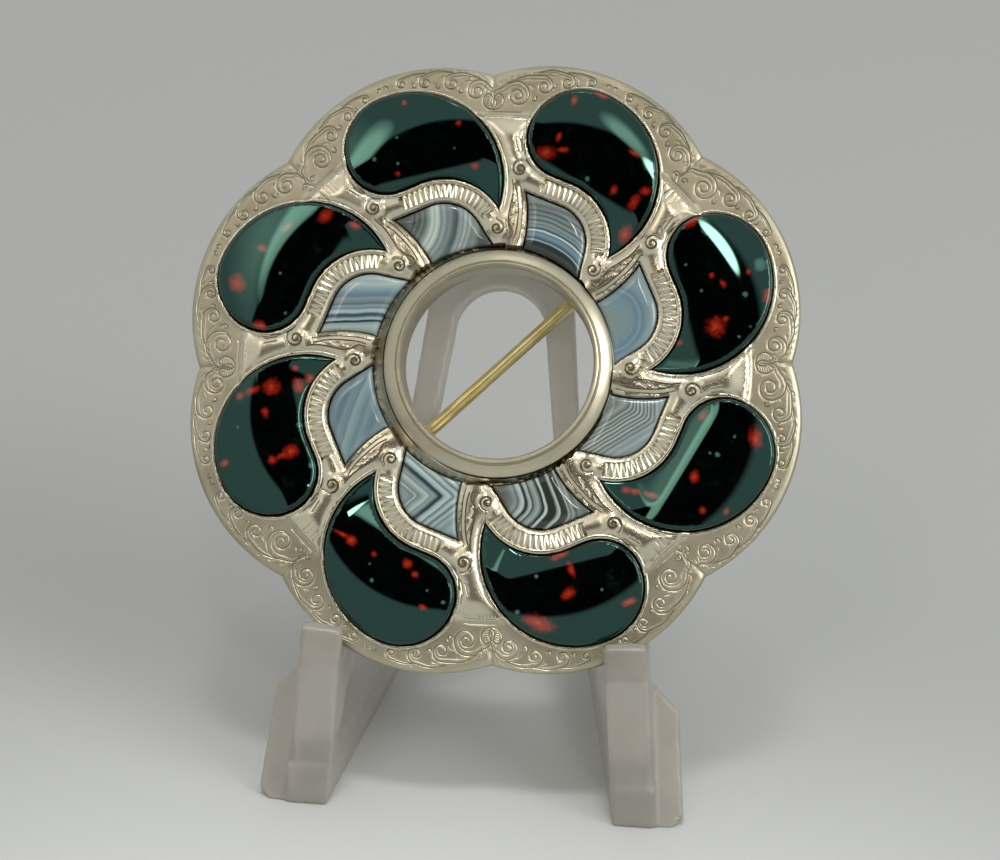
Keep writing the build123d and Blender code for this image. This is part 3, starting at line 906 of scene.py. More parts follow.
ear = joined([
    straight((-EAR_LENGTH / 2, PIN_HEIGHT), (-EAR_LENGTH / 2, ROOT)),
    straight((-EAR_LENGTH / 2, ROOT), (EAR_LENGTH / 2, ROOT)),
    straight((EAR_LENGTH / 2, ROOT), (EAR_LENGTH / 2, PIN_HEIGHT)),
    arc((0, PIN_HEIGHT), EAR_LENGTH / 2, 0, -math.pi),
])
bore = arc((0, PIN_HEIGHT), RIVET_RADIUS + PIN_GAP / 2, 0, 2 * math.pi)[:-1]
points, faces = cut_sheet(ear, [bore], EAR_THICK)
for side, name in ((-1, "hinge_ear_left"), (1, "hinge_ear_right")):
    across = side * (KNUCKLE_WIDTH / 2 + PIN_GAP + EAR_THICK / 2)
    placed = on_pin_line(points[:, 0] - HINGE_REACH, across - points[:, 2], points[:, 1])
    make_finding(name, placed, faces)

inner = PIN_RADIUS + PIN_GAP
outer = inner + CATCH_WALL
hook = joined([
    straight((outer / 2, ROOT), (-outer / 2, ROOT)),
    straight((-outer / 2, ROOT), (-outer / 2, PIN_HEIGHT + outer * BEND_UP)),
    arc((0, PIN_HEIGHT), outer, math.radians(120), math.radians(328)),
    straight((outer * MOUTH_OUT, PIN_HEIGHT - outer * MOUTH_DOWN),
             (inner * MOUTH_OUT, PIN_HEIGHT - inner * MOUTH_DOWN)),
    arc((0, PIN_HEIGHT), inner, math.radians(328), math.radians(60)),
    straight((inner * 0.5, PIN_HEIGHT + inner * BEND_UP), (outer / 2, PIN_HEIGHT + outer * BEND_UP)),
    straight((outer / 2, PIN_HEIGHT + outer * BEND_UP), (outer / 2, ROOT)),
])
points, faces = cut_sheet(hook, [], CATCH_LENGTH)
make_finding("pin_catch", on_pin_line(CATCH_REACH + points[:, 2], points[:, 0], points[:, 1]), faces)


# Pin
# Hard brass wire drawn round and ground to a point, its knuckle and rivet in one with it. It crosses
# the open centre behind the ring, and years of wear left it satin with a bright line along the top.
STEM_END = 17.8
PIN_TIP = 23.8
TIP_RADIUS = 0.25
KNUCKLE_RADIUS = 1.05
RIVET_HALF = 1.57
PIN_STEPS = 40
STEM_STEPS = 60
# The knuckle and the rivet: half length, radius, how far their ends are worn in and back, and the
# angle in degrees from which an edge shows
BARRELS = (
    ("pin_knuckle", KNUCKLE_WIDTH / 2, KNUCKLE_RADIUS, 0.12, 0.12, 30),
    ("pin_rivet", RIVET_HALF, RIVET_RADIUS, 0.15, 0.1, 50),
)

stem = [(PIN_RADIUS, along) for along in np.linspace(-HINGE_REACH, STEM_END, STEM_STEPS)]
point = [(PIN_RADIUS + (TIP_RADIUS - PIN_RADIUS) * share, STEM_END + (PIN_TIP - 0.2 - STEM_END) * share)
         for share in (0.15, 0.3, 0.5, 0.75, 1.0)]
tip = [(TIP_RADIUS * 0.8, PIN_TIP - 0.08), (TIP_RADIUS * 0.4, PIN_TIP)]
points, faces = turned(stem + point + tip, PIN_STEPS, shut=False)
pin_pieces = [new_piece("pin_stem", on_pin_line(points[:, 2], points[:, 0], PIN_HEIGHT + points[:, 1]),
                        [face[::-1] for face in faces], sharp=60)]
for name, half, radius, inward, backward, sharp in BARRELS:
    barrel = [(radius - inward, -half), (radius, backward - half), (radius, half - backward),
              (radius - inward, half)]
    points, faces = turned(barrel, PIN_STEPS, shut=False)
    placed = on_pin_line(points[:, 0] - HINGE_REACH, points[:, 2], PIN_HEIGHT + points[:, 1])
    pin_pieces.append(new_piece(name, placed, faces, sharp=sharp))

# Yellow brass: warm gold with a soft gloss, and long faint draw marks that run with the wire. Real draw
# marks are finer, and these are drawn as coarse as they need to show.
DRAW_MARK_LONG = 8.333
DRAW_MARK_WIDE = 0.1667
BRASS_CLOUD = 2.857

brass, tree, surface = new_material("worn_yellow_brass", Metallic=1.0)
place = node(tree, "TexCoord", out="Object")
wire_frame = (brooch_place.to_3x3() @ Matrix.Rotation(PIN_ANGLE, 3, "Z")).inverted()
with_wire = node(tree, "Mapping", {"Vector": place, "Rotation": tuple(wire_frame.to_euler())})
drawn = node(tree, "Mapping", {"Vector": with_wire, "Scale": [
    1 / (size * MM) for size in (DRAW_MARK_LONG, DRAW_MARK_WIDE, DRAW_MARK_WIDE)]})
marks = node(tree, "TexNoise", {"Vector": drawn, "Scale": 1.0, "Detail": 3.0})
worn = node(tree, "TexNoise", {"Vector": place, "Scale": 1 / (BRASS_CLOUD * MM), "Detail": 3.0})
colour = node(tree, "ValToRGB", {"Fac": worn}, stops=((0.3, "#B5A468"), (0.5, "#C8B97E"), (0.7, "#D6CA96")))
tree.links.new(colour, surface.inputs["Base Color"])
gloss = node(tree, "MapRange", {"Value": marks, "To Min": 0.24, "To Max": 0.4})
tree.links.new(gloss, surface.inputs["Roughness"])
bump = node(tree, "Bump", {"Height": marks, "Strength": 0.12, "Distance": 0.01 * MM})
tree.links.new(bump, surface.inputs["Normal"])
for piece in pin_pieces:
    piece.data.materials.append(brass)
    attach(piece, "root")
    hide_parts("brooch_pin")


# Bloodstones
# Eight comma-shaped cabochons of dark green jasper with iron-red spots, ground to a low crown that
# follows the brooch round and polished to a glassy gloss. Each is held by the thin lip of its cell.
STONE_BOTTOM = -2.28
STONE_GRAIN = 0.2
CROWN_TOP = 1.45
BLOOD_GIRDLE = 0.38
EDGE_WIDTH = 0.35
# How far in from its edge a crown is rounded at most, and the insets of lines that follow the edge
EDGE_REACH = 3.0
GIRDLE_LOOPS = (0.0, 0.04, 0.1, 0.2, 0.35)
# The crown is level along its crest and falls faster and faster towards both edges. Two lines, an arc
# on the outer side and a slanting one on the inner, mark where the slope has grown steep enough to show
# the bright surround in place of the dark room, and the fall starts a margin before each.
CREST_MARGIN = 2.5
FALL_START = 3.0
OUTER_FALL = 0.173
# Each stone was ground by hand, so its inner side falls a little more or less than the others
INNER_FALLS = (0.272, 0.247, 0.368, 0.363, 0.305, 0.349, 0.326, 0.323)
UPPER_MIDDLE = (0.8, 14.1)
UPPER_RADIUS = 11.9
LOWER_OUTWARD = 20.75
LOWER_SLANT = 0.16
# Along the hollow side, where the inner fall would sink below the girdle, a gentle plane takes over
TIP_SLOPE = 0.25
TIP_WIDTH = 3.0
TIP_BLEND = 0.05


def cabochon(name, i, loops, crown):
    """A stone in sector i, from its outline and the loops within it. A function of place and distance
    from the edge gives its height. Returns the piece and its points as drawn."""
    outline = loops[0]
    drawing = Drawing(loops)
    fill = grains(RIM_RADIUS, STONE_GRAIN)
    fill = fill[inside(fill, outline)]
    fill = fill[distance(fill, outline, STONE_GRAIN, closed=True) >= STONE_GRAIN * 0.99]
    drawing.points += [Vector(point) for point in fill]
    flat, triangles = drawing.fill()
    level = inside(flat[triangles].mean(1), outline).astype(int)
    edge = distance(flat, outline, EDGE_REACH, closed=True)
    points, faces = raised(flat, triangles, level, (STONE_BOTTOM, crown(flat, edge)))[:2]
    placed = points.copy()
    placed[:, :2] = in_sector(points[:, :2], i)
    return new_piece(name, placed, faces, sharp=60), points


def fall(beyond, rate):
    """How far the crown has fallen at a distance beyond its crest's line."""
    run = np.maximum(beyond + CREST_MARGIN, 0)
    return rate * (np.sqrt(FALL_START ** 2 + run ** 2) - FALL_START)


def blood_crown(flat, edge, inner_fall):
    upper = np.hypot(*(flat - UPPER_MIDDLE).T) - UPPER_RADIUS
    lower = LOWER_OUTWARD - LOWER_SLANT * flat[:, 0] - flat[:, 1]
    inner = CROWN_TOP - fall(lower, inner_fall)
    tip = BLOOD_GIRDLE + TIP_SLOPE * np.minimum(np.hypot(*(flat - HOLLOW_CENTRE).T) - HOLLOW, TIP_WIDTH)
    crown = TIP_BLEND * np.logaddexp(inner / TIP_BLEND, tip / TIP_BLEND) - fall(upper, OUTER_FALL)
    return BLOOD_GIRDLE + (crown - BLOOD_GIRDLE) * quarter_round(edge / EDGE_WIDTH)


# The iron-red spots of each stone: across, outward, half width and height, and turn in degrees
BLOOD_SPOTS = (
    ((-0.3, 29.0, 0.8, 0.3, 0), (-2.55, 27.5, 0.35, 0.55, 0), (-5.0, 26.8, 0.45, 0.9, -20),
     (-5.9, 25.1, 0.4, 0.3, 0), (-2.5, 23.4, 0.3, 0.5, 0), (-3.1, 21.5, 0.95, 0.6, 10),
     (-1.6, 22.4, 0.6, 0.3, 30), (5.0, 24.6, 0.7, 0.22, -10), (4.6, 20.5, 0.35, 0.55, 0),
     (7.5, 21.5, 0.6, 0.5, 20), (6.9, 20.1, 0.5, 0.95, -10), (7.2, 16.9, 0.7, 0.9, 0)),
    ((4.3, 27.4, 0.75, 0.4, -30), (1.4, 26.7, 0.3, 0.3, 0), (-5.3, 23.5, 0.45, 1.0, 15),
     (1.6, 23.9, 0.5, 0.3, 15), (0.4, 23.2, 0.3, 0.28, 0), (5.2, 21.6, 1.0, 0.95, -40),
     (4.9, 22.8, 0.3, 0.4, 0), (5.2, 17.7, 0.35, 0.4, 0)),
    ((-2.9, 26.6, 1.15, 0.65, 30), (5.5, 24.5, 0.42, 0.38, 0), (2.8, 22.6, 0.62, 0.45, 20),
     (-3.1, 21.1, 0.65, 0.35, -10), (6.0, 19.4, 0.3, 1.0, 8), (6.3, 17.7, 0.3, 0.7, 8),
     (6.5, 16.9, 0.4, 0.45, 0), (4.7, 26.7, 0.4, 0.3, 0)),
    ((5.4, 25.3, 1.6, 0.75, -45), (-3.5, 26.7, 0.8, 0.35, 0), (1.6, 23.7, 0.8, 0.5, 15),
     (0.5, 21.7, 0.35, 0.8, 0), (1.0, 19.9, 0.95, 0.4, 5)),
    ((-1.1, 22.0, 0.35, 0.35, 0), (0.0, 21.3, 0.5, 0.5, 0), (3.4, 21.7, 0.3, 0.3, 0),
     (6.0, 21.3, 0.6, 0.5, 0), (7.0, 21.1, 1.1, 0.22, -4), (-3.0, 24.6, 0.5, 0.3, 10)),
    ((1.1, 28.2, 0.38, 0.5, 0), (5.3, 27.7, 0.9, 0.55, -35), (-0.5, 23.6, 0.5, 0.45, 0),
     (-0.45, 22.5, 0.3, 0.8, 0), (-0.4, 21.6, 0.65, 0.8, 0), (4.2, 22.5, 0.6, 0.4, -10),
     (6.7, 24.3, 0.4, 0.5, 0), (6.7, 22.9, 0.4, 0.8, 0), (6.3, 21.0, 0.85, 0.85, 0),
     (5.5, 18.5, 0.8, 0.6, 0), (7.2, 18.2, 0.35, 0.4, 0), (5.8, 17.3, 0.5, 0.5, 0)),
    ((-2.1, 26.7, 1.0, 0.9, 45), (2.0, 25.7, 0.4, 0.65, 0), (-5.2, 22.9, 0.45, 0.75, 0),
     (7.4, 21.1, 0.9, 0.6, -30), (7.7, 18.1, 0.4, 0.7, 0), (4.9, 24.2, 0.8, 0.35, -20)),
    ((1.9, 27.8, 0.3, 0.3, 0), (6.1, 23.6, 0.35, 0.3, 0), (6.0, 19.0, 0.45, 0.4, 0),
     (-1.4, 21.3, 0.3, 0.25, 0)),
)
# Pale green specks: across, outward and radius
PALE_SPECKS = (
    ((1.7, 20.6, 0.25), (3.2, 19.2, 0.2), (6.8, 24.0, 0.5)),
    ((1.2, 28.0, 0.75), (-3.9, 24.5, 0.55), (3.4, 25.5, 0.32), (-1.6, 21.3, 0.2), (1.4, 21.7, 0.2),
     (6.5, 24.7, 0.2), (7.0, 23.3, 0.2)),
    ((-2.3, 24.7, 0.22), (0.0, 23.8, 0.3), (0.1, 23.1, 0.2)),
    ((-1.5, 24.6, 0.2), (3.9, 21.0, 0.25), (6.9, 23.5, 0.3)),
    ((-4.7, 23.4, 0.22), (-2.8, 22.9, 0.22), (2.6, 24.1, 0.25), (3.4, 22.7, 0.2)),
    ((3.9, 25.6, 0.2), (-2.4, 20.3, 0.3), (1.8, 19.9, 0.35)),
    ((0.4, 23.0, 0.22), (-3.1, 21.0, 0.22)),
    ((-0.1, 24.7, 0.22), (-3.0, 23.5, 0.25), (-1.0, 22.2, 0.2), (4.8, 21.4, 0.2)),
)


def blotches(points, spots):
    """1.5 in the middle of a spot, 0.5 at its edge and 0 further out."""
    field = np.zeros(len(points))
    for x, y, wide, tall, lean in spots:
        cosine, sine = math.cos(math.radians(lean)), math.sin(math.radians(lean))
        dx, dy = points[:, 0] - x, points[:, 1] - y
        away = np.hypot((dx * cosine + dy * sine) / wide, (dy * cosine - dx * sine) / tall)
        field = np.maximum(field, 1.5 - away)
    return field


# Bloodstone, polished: so dark that the colour seen is mostly its green gloss, with opaque iron-red
# spots that have ragged edges, a few paler specks, and cloudy green where the jasper is thinner.
JASPER_CLOUD = 2.0
SPOT_RAG = 0.6667

jasper, tree, surface = new_material(
    "polished_bloodstone", Roughness=0.03, IOR=1.54, Specular_IOR_Level=1.0,
    Specular_Tint=linear("#9AE2D3"))
place = node(tree, "TexCoord", out="Object")
clouds = node(tree, "TexNoise", {"Vector": place, "Scale": 1 / (JASPER_CLOUD * MM), "Detail": 5.0,
                                 "Roughness": 0.65})
green = node(tree, "ValToRGB", {"Fac": clouds}, stops=(
    (0.35, "#010202"), (0.6, "#020504"), (0.72, "#08170F"), (0.85, "#12291B")))
ragged = node(tree, "TexNoise", {"Vector": place, "Scale": 1 / (SPOT_RAG * MM), "Detail": 5.0,
                                 "Roughness": 0.7})
torn = node(tree, "Math", {0: ragged, 1: 1.5, 2: -0.75}, operation="MULTIPLY_ADD")
fields = [node(tree, "Attribute", out="Fac", attribute_name=name) for name in ("red", "pale")]
red_edge, pale_edge = [node(tree, "Math", {0: field, 1: torn}, operation="ADD") for field in fields]
red_mask = node(tree, "MapRange", {"Value": red_edge, "From Min": 0.2, "From Max": 0.75})
heart = node(tree, "MapRange", {"Value": red_edge, "From Min": 0.2, "From Max": 1.5})
rust = node(tree, "ValToRGB", {"Fac": heart}, stops=(
    (0.0, "#240504"), (0.35, "#651309"), (0.65, "#841E10"), (1.0, "#A63A22")))
pale_mask = node(tree, "MapRange", {"Value": pale_edge, "From Min": 0.45, "From Max": 1.1, "To Max": 0.7})
specked = node(tree, "Mix", {"Factor": pale_mask, "A": green, "B": linear("#4E7A6C")}, data_type="RGBA")
spotted = node(tree, "Mix", {"Factor": red_mask, "A": specked, "B": rust}, data_type="RGBA")
tree.links.new(spotted, surface.inputs["Base Color"])

loops = [comma(SEAT_GAP + inset) for inset in GIRDLE_LOOPS]
for i in range(SECTORS):
    stone, points = cabochon(f"bloodstone_{i + 1}_polished", i, loops,
                             lambda flat, edge: blood_crown(flat, edge, INNER_FALLS[i]))
    paint(stone, "red", blotches(points, BLOOD_SPOTS[i]))
    paint(stone, "pale", blotches(points, [(x, y, r, r, 0) for x, y, r in PALE_SPECKS[i]]))
    stone.data.materials.append(jasper)
    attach(stone, "root")
    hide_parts(f"bloodstone_{i + 1}")


# Banded agates
# Eight slices of blue-grey banded agate, each cut from a different place in the nodule, so that its
# bands run in rings, chevrons or straight. Ground nearly flat, polished and set low beside the ring.
AGATE_GIRDLE = 0.1
AGATE_RISE = 0.4
AGATE_SHOULDER = 1.1
AGATE_LOOPS = (0.0, 0.06, 0.2)
# How far across a slice its bowed bands stand straight
BOW_PLACE = 12


def rings(x, y):
    """Bands that run in circles: the distance from their middle."""
    return lambda points: np.hypot(points[:, 0] - x, points[:, 1] - y)


def chevrons(x, y, first, second, soft):
    """Bands that bend softly at a point: the distance beyond it, square to either arm."""
    def field(points):
        aside, beyond = points[:, 0] - x, points[:, 1] - y
        arms = [aside * math.cos(math.radians(way)) + beyond * math.sin(math.radians(way))
                for way in (first, second)]
        return soft * np.logaddexp(arms[0] / soft, arms[1] / soft)
    return field


def straight_bands(way, bow):
    """Bands that run straight but for a slight bow: the distance along the way across them."""
    cosine, sine = math.cos(math.radians(way)), math.sin(math.radians(way))

    def field(points):
        across = points[:, 1] * cosine - points[:, 0] * sine
        return points[:, 0] * cosine + points[:, 1] * sine + bow * (across - BOW_PLACE) ** 2
    return field


# Each agate's bands: the field that they follow, then places in millimetres along it and their colours
AGATE_BANDS = (
    (rings(0.4, 6.2), (
        (6.2, "#10141A"), (6.9, "#232C38"), (7.05, "#B9CBD2"), (7.15, "#3B4C60"), (7.35, "#5F7C98"),
        (7.6, "#83A2B8"), (7.85, "#5E7B95"), (7.96, "#D5E2E4"), (8.06, "#DCE8E8"), (8.12, "#1B222C"),
        (8.22, "#55687A"), (8.45, "#8DA5B2"), (8.62, "#5D6E7C"), (8.7, "#9AAEB8"), (8.95, "#707F8A"),
        (9.05, "#3F4A54"), (9.15, "#93A3AB"), (9.4, "#7B8992"), (9.5, "#414A52"), (9.62, "#8C9AA2"),
        (9.9, "#6C767C"), (10.0, "#3C4349"), (10.12, "#87939A"), (10.5, "#5C6468"), (10.8, "#7F8A8F"))),
    (rings(0.4, 12.3), (
        (0.0, "#8C9A9A"), (1.2, "#869AA6"), (2.3, "#7E97A9"), (2.9, "#6E8CA4"), (3.1, "#86A0B2"),
        (3.4, "#6A87A0"), (3.7, "#7D98AB"), (4.2, "#8FA3AF"), (5.0, "#8A9CA6"), (6.0, "#94A5AD"))),
    (chevrons(-0.8, 17.2, 114, 53, 0.15), (
        (-5.2, "#6F777A"), (-4.4, "#8E989C"), (-3.6, "#70787C"), (-3.0, "#9AA6AA"), (-2.6, "#5C6468"),
        (-2.45, "#B4BFC2"), (-2.25, "#4D555B"), (-2.1, "#A9B5BA"), (-1.92, "#464E55"), (-1.78, "#BAC6C9"),
        (-1.58, "#424A52"), (-1.42, "#C3CED0"), (-1.22, "#454E56"), (-1.06, "#B7C2C6"), (-0.88, "#515A62"),
        (-0.72, "#C0CBCE"), (-0.54, "#4A525A"), (-0.36, "#AAB6BD"), (-0.18, "#656F78"), (0.0, "#A3B0BA"),
        (0.35, "#8A98A6"), (0.6, "#A5B2BE"), (1.0, "#8695A5"), (1.6, "#9CAAB6"), (2.2, "#8A98A4"))),
    (chevrons(3.7, 13.2, 180, 108.4, 0.45), (
        (0.0, "#5B5650"), (0.5, "#6E777B"), (0.85, "#8E9CA3"), (1.1, "#5A656D"), (1.3, "#AEBEC3"),
        (1.55, "#C2CFD1"), (1.68, "#22262B"), (1.85, "#15181B"), (1.98, "#9AA9AE"), (2.15, "#B9C7CA"),
        (2.3, "#24282C"), (2.45, "#7B878C"), (2.75, "#A3B1B6"), (2.95, "#6F7A80"), (3.1, "#101214"),
        (3.22, "#0E1012"), (3.3, "#C0CCCE"), (3.45, "#CBD6D7"), (3.55, "#16181A"), (4.15, "#0D0E0F"),
        (4.3, "#8C979A"), (4.45, "#C5D0D1"), (4.6, "#1A1C1E"), (5.05, "#2B2E30"), (5.2, "#A7B2B4"),
        (5.35, "#5E6669"), (5.55, "#9FA9AB"), (5.8, "#4C5254"), (6.1, "#7D8486"), (6.6, "#5F6567"),
        (7.6, "#6E7475"))),
    (chevrons(1.887, 14.82, 150.3, 252.1, 0.12), (
        (-1.6, "#7E8F90"), (-0.5, "#8A9B9C"), (-0.15, "#75878B"), (0.0, "#B5C4C6"), (0.14, "#73858B"),
        (0.4, "#8FA1A6"), (0.62, "#AFC0C5"), (0.8, "#B8C9CD"), (0.95, "#7A8B92"), (1.15, "#94A5AA"),
        (1.35, "#6B7B84"), (1.5, "#1E2833"), (1.62, "#141C26"), (1.74, "#5F7688"), (1.9, "#A9C0CC"),
        (2.2, "#BDD0D6"), (2.35, "#5E7482"), (2.5, "#8799A1"), (2.65, "#B9C9CC"), (2.85, "#A0B2B6"),
        (3.0, "#485761"), (3.12, "#8799A0"), (3.35, "#B4C5C9"), (3.5, "#6E808A"), (3.8, "#9DB1BA"),
        (4.2, "#7C929F"), (4.6, "#98AEBA"), (5.2, "#869CA9"))),
    (straight_bands(53, 0.012), (
        (8.0, "#6F8798"), (9.6, "#7A93A2"), (10.3, "#698294"), (11.0, "#8199A7"), (11.4, "#6E8797"),
        (11.9, "#88A0AC"), (12.3, "#93AAB3"), (12.5, "#71899A"), (13.1, "#7D95A4"), (13.6, "#667D8F"),
        (14.2, "#73899A"), (15.0, "#5F7586"))),
    (straight_bands(22.4, 0.006), (
        (3.2, "#93A7B0"), (4.0, "#B2C3C9"), (4.28, "#8DA3B2"), (4.36, "#141E2E"), (4.5, "#1C2A3D"),
        (4.62, "#BFD0D6"), (4.76, "#93A8BA"), (4.98, "#2F4563"), (5.2, "#41597A"), (5.34, "#AFC4D1"),
        (5.55, "#BACBD3"), (5.75, "#7189A1"), (6.0, "#93A8B6"), (6.2, "#5A7088"), (6.4, "#7F8F96"),
        (6.7, "#8FA1AA"), (6.95, "#6B84A0"), (7.3, "#7793AF"), (7.6, "#92AABB"), (7.9, "#A9BDC7"),
        (8.2, "#BCCCD2"), (8.5, "#A3B7C1"), (8.8, "#B4C5CB"), (9.3, "#9DAFB7"))),
    (rings(-3.9, 17.6), (
        (1.75, "#4B5051"), (2.35, "#5E6465"), (2.50, "#2F3335"), (2.70, "#6C7375"), (3.05, "#4A5052"),
        (3.35, "#7E8789"), (3.55, "#555D60"), (3.85, "#858F92"), (4.10, "#A8B5B8"), (4.35, "#D3DEDF"),
        (4.60, "#B1C0C4"), (4.80, "#DBE5E5"), (5.05, "#BFCDD0"), (5.25, "#7E8C92"), (5.55, "#A7B6BB"),
        (5.85, "#7D898E"), (6.15, "#8B979B"), (6.55, "#5A676F"), (6.85, "#4C5963"), (7.05, "#8D9BA3"),
        (7.25, "#A9B3BC"), (7.45, "#808D96"), (7.65, "#C2CCD1"), (7.85, "#8A97A0"), (8.10, "#AEB9BE"),
        (8.35, "#7B868B"), (8.75, "#8C979A"), (9.35, "#454B4C"))),
)


def agate_crown(flat, edge):
    """An agate is flat, so only the distance from its edge counts."""
    return AGATE_GIRDLE + AGATE_RISE * quarter_round(edge / AGATE_SHOULDER)


# How far the bands wave, over what length, and how wide the finest growth lines are
BAND_WAVE = 0.3
WAVE_LENGTH = 2.381
GROWTH_LINE = 0.1429


def banded_agate(number, stops):
    """Banded agate, polished: cloudy stripes of grey, blue and white, each as sharp as a growth line of
    the nodule, with finer lines between them and a soft waviness."""
    material, tree, surface = new_material(f"banded_agate_{number}", Roughness=0.09, IOR=1.54)
    place = node(tree, "TexCoord", out="Object")
    field = node(tree, "Attribute", out="Fac", attribute_name="band")
    wave = node(tree, "TexNoise", {"Vector": place, "Scale": 1 / (WAVE_LENGTH * MM), "Detail": 2.0})
    waved = node(tree, "Math", {0: wave, 1: BAND_WAVE, 2: field}, operation="MULTIPLY_ADD")
    low, high = stops[0][0], stops[-1][0]
    share = node(tree, "MapRange", {"Value": waved, "From Min": low + BAND_WAVE / 2,
                                    "From Max": high + BAND_WAVE / 2})
    colour = node(tree, "ValToRGB", {"Fac": share},
                  stops=[((at - low) / (high - low), code) for at, code in stops])
    line = node(tree, "CombineXYZ", {"X": waved})
    growth = node(tree, "TexNoise", {"Vector": line, "Scale": 1 / GROWTH_LINE, "Detail": 3.0,
                                     "Roughness": 0.75})
    depth = node(tree, "MapRange", {"Value": growth, "From Min": 0.3, "From Max": 0.7, "To Min": 0.8,
                                    "To Max": 1.15})
    lined = node(tree, "Mix", {"Factor": 1.0, "A": colour, "B": depth}, data_type="RGBA",
                 blend_type="MULTIPLY")
    cloudy = node(tree, "Mix", {"Factor": 0.1, "A": lined, "B": linear("#8C9C9C")}, data_type="RGBA")
    aged = node(tree, "Mix", {"Factor": 1.0, "A": cloudy, "B": linear("#EAECDF")}, data_type="RGBA",
                blend_type="MULTIPLY")
    tree.links.new(aged, surface.inputs["Base Color"])
    return material


loops = [widened(agate_outline(), -SEAT_GAP - inset) for inset in AGATE_LOOPS]
for i, (bands, stops) in enumerate(AGATE_BANDS):
    stone, points = cabochon(f"banded_agate_{i + 1}_polished", i, loops, agate_crown)
    paint(stone, "band", bands(points))
    stone.data.materials.append(banded_agate(i + 1, stops))
    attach(stone, "root")
    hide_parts(f"banded_agate_{i + 1}")


# Acrylic easel
# A small display easel, moulded in clear acrylic in one piece. Its edges are rounded from the mould
# and from polishing, and handling has hazed it to a cloudy, faintly pinkish grey.
SAME_POINT = 0.001
# The step of its skin's even mesh, and the rounds and the share by which smoothing melts its edges
EASEL_SKIN = 0.3
MELT_ROUNDS = 7
MELT_SHARE = 0.5

easel_mesh = bpy.data.objects["display_stand"].data.copy()
shaped = bmesh.new()
shaped.from_mesh(easel_mesh)
bmesh.ops.remove_doubles(shaped, verts=shaped.verts, dist=SAME_POINT * MM)
shaped.to_mesh(easel_mesh)
shaped.free()
easel = into_scene("clear_easel", easel_mesh)
skin = easel.modifiers.new("even_skin", "REMESH")
skin.mode = "VOXEL"
skin.voxel_size = EASEL_SKIN * MM
skin.use_smooth_shade = True
melt = easel.modifiers.new("melted_edges", "SMOOTH")
melt.factor = MELT_SHARE
melt.iterations = MELT_ROUNDS

# Clear acrylic, hazed: light passes but blurs, edges catch light, and faint scuffs dull the faces.
HAZE_CLOUD = 11.11

acrylic, tree, surface = new_material("hazed_clear_acrylic", IOR=1.49, Transmission_Weight=0.72)
place = node(tree, "TexCoord", out="Object")
haze = node(tree, "TexNoise", {"Vector": place, "Scale": 1 / (HAZE_CLOUD * MM), "Detail": 5.0,
                               "Roughness": 0.6})
tint = node(tree, "ValToRGB", {"Fac": haze}, stops=((0.35, "#C9C4BA"), (0.65, "#D7D2C8")))
tree.links.new(tint, surface.inputs["Base Color"])
dulled = node(tree, "MapRange", {"Value": haze, "To Min": 0.22, "To Max": 0.42})
tree.links.new(dulled, surface.inputs["Roughness"])
easel_mesh.materials.clear()
easel_mesh.materials.append(acrylic)
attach(easel, "root")
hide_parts("display_stand")


# Floor and studio light
# A plain pale table and a bright white surround. The dark patch in the surround is the unlit room
# behind the camera, which polished stones show as a black band along their crowns, and the four
# soft boxes beside it are what they show as pale streaks.
FLOOR_HALF = 4.0
SURROUND_LIGHT = 0.79
# Ovals of the surround as the brooch's face mirrors them: degrees right and up, half long and half
# short, turn in degrees, and how soft the edge is. Each soft box adds its strength and its colour.
UNLIT_ROOM = (4.5, 2.0, 19.7, 19.3, 0, 0.04)
SOFT_BOXES = (
    ((-19.5, 12.8, 8.0, 4.6, 88, 0.6), 1.3, "#FBE9DC"),
    ((-13.2, 13.0, 8.5, 3.4, 88, 0.25), 4.2, "#F8EBDD"),
    ((15.3, 14.0, 4.3, 2.1, -54, 0.13), 25.0, "#F8EBDD"),
    ((10.6, 21.4, 4.6, 1.8, -54, 0.35), 3.6, "#F8EBDD"),
)
# A curtained window far to the right, and a lamp that shines down from high in front: places and
# sizes in metres, power in watts
WINDOW_PLACE = (0.45, -0.26, 0.34)
WINDOW_SIZE = (0.25, 0.3)
WINDOW_POWER = 1.3
LAMP_PLACE = (0.0, -0.09, 0.35)
LAMP_RADIUS = 0.04
LAMP_CONE = math.radians(31)
LAMP_SOFTNESS = 0.7
LAMP_POWER = 3.7

floor_mesh = bpy.data.meshes.new("table")
floor_mesh.from_pydata([(-FLOOR_HALF, -FLOOR_HALF, 0), (FLOOR_HALF, -FLOOR_HALF, 0),
                        (FLOOR_HALF, FLOOR_HALF, 0), (-FLOOR_HALF, FLOOR_HALF, 0)], [], [(0, 1, 2, 3)])
floor = into_scene("table", floor_mesh)
card, tree, surface = new_material("white_card", Base_Color=linear("#B4B6B4"), Roughness=0.6)
floor_mesh.materials.append(card)

world = bpy.data.worlds.new("surround")
world.use_nodes = True
bpy.context.scene.world = world
tree = world.node_tree
tree.nodes.clear()
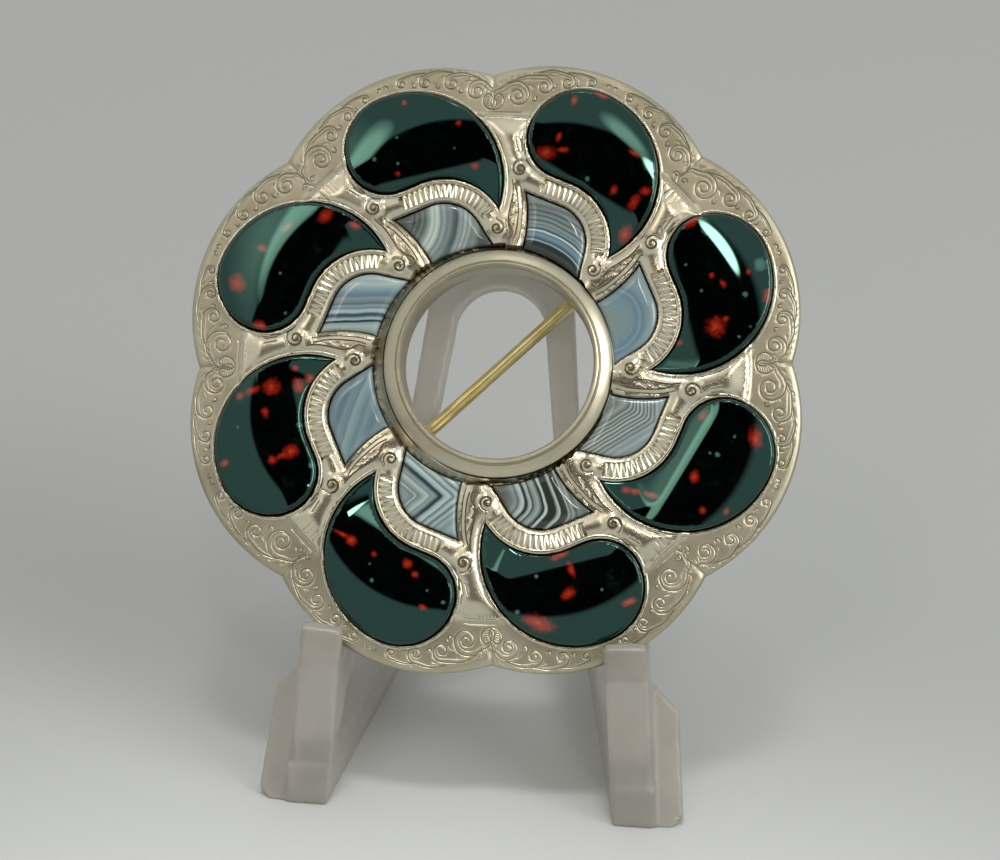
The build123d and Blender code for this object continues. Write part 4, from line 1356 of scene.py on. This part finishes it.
# The way to the unlit room is the camera's, mirrored in the brooch's face
room_way = (2 * facing * facing.dot(back) - back).normalized()
room_right = (Vector((1, 0, 0)) - room_way * room_way.x).normalized()
room_up = room_way.cross(room_right)
way = node(tree, "TexCoord", out="Generated")
on, aside, aloft = [node(tree, "VectorMath", {0: way, 1: axis}, operation="DOT_PRODUCT")
                    for axis in (room_way, room_right, room_up)]
ahead = node(tree, "Math", {0: on, 1: 0.01}, operation="MAXIMUM")
across, upright = [node(tree, "Math", {0: part, 1: ahead}, operation="DIVIDE") for part in (aside, aloft)]
view = node(tree, "CombineXYZ", {"X": across, "Y": upright})


def oval(place, outer_value, inner_value):
    """One value outside an oval of the surround and another inside it."""
    x, y, long, short, turn, soft = place
    placed = node(tree, "Mapping", {
        "Vector": view, "Location": (math.radians(x), math.radians(y), 0),
        "Rotation": (0, 0, math.radians(turn)), "Scale": (math.radians(long), math.radians(short), 1),
    }, vector_type="TEXTURE")
    size = node(tree, "VectorMath", {0: placed}, operation="LENGTH")
    return node(tree, "MapRange", {"Value": size, "From Min": 1 + soft, "From Max": 1 - soft,
                                   "To Min": outer_value, "To Max": inner_value})


def glowing(code, strength):
    return node(tree, "VectorMath", {0: linear(code)[:3], "Scale": strength}, operation="SCALE")


lit = glowing("#F1F2F2", oval(UNLIT_ROOM, SURROUND_LIGHT, 0.0))
for place, strength, code in SOFT_BOXES:
    lit = node(tree, "VectorMath", {0: lit, 1: glowing(code, oval(place, 0.0, strength))}, operation="ADD")
sky = node(tree, "Background", {"Color": lit})
node(tree, "OutputWorld", {"Surface": sky})

window_data = bpy.data.lights.new("window", "AREA")
window_data.shape = "RECTANGLE"
window_data.size, window_data.size_y = WINDOW_SIZE
window_data.energy = WINDOW_POWER
window = into_scene("window", window_data)
window.location = WINDOW_PLACE
window.rotation_mode = "QUATERNION"
window.rotation_quaternion = (-Vector(WINDOW_PLACE)).to_track_quat("-Z", "Y")

lamp_data = bpy.data.lights.new("lamp_in_front", "SPOT")
lamp_data.spot_size = LAMP_CONE
lamp_data.spot_blend = LAMP_SOFTNESS
lamp_data.shadow_soft_size = LAMP_RADIUS
lamp_data.energy = LAMP_POWER
lamp = into_scene("lamp_in_front", lamp_data)
lamp.location = LAMP_PLACE

bpy.context.scene.view_settings.view_transform = "Standard"
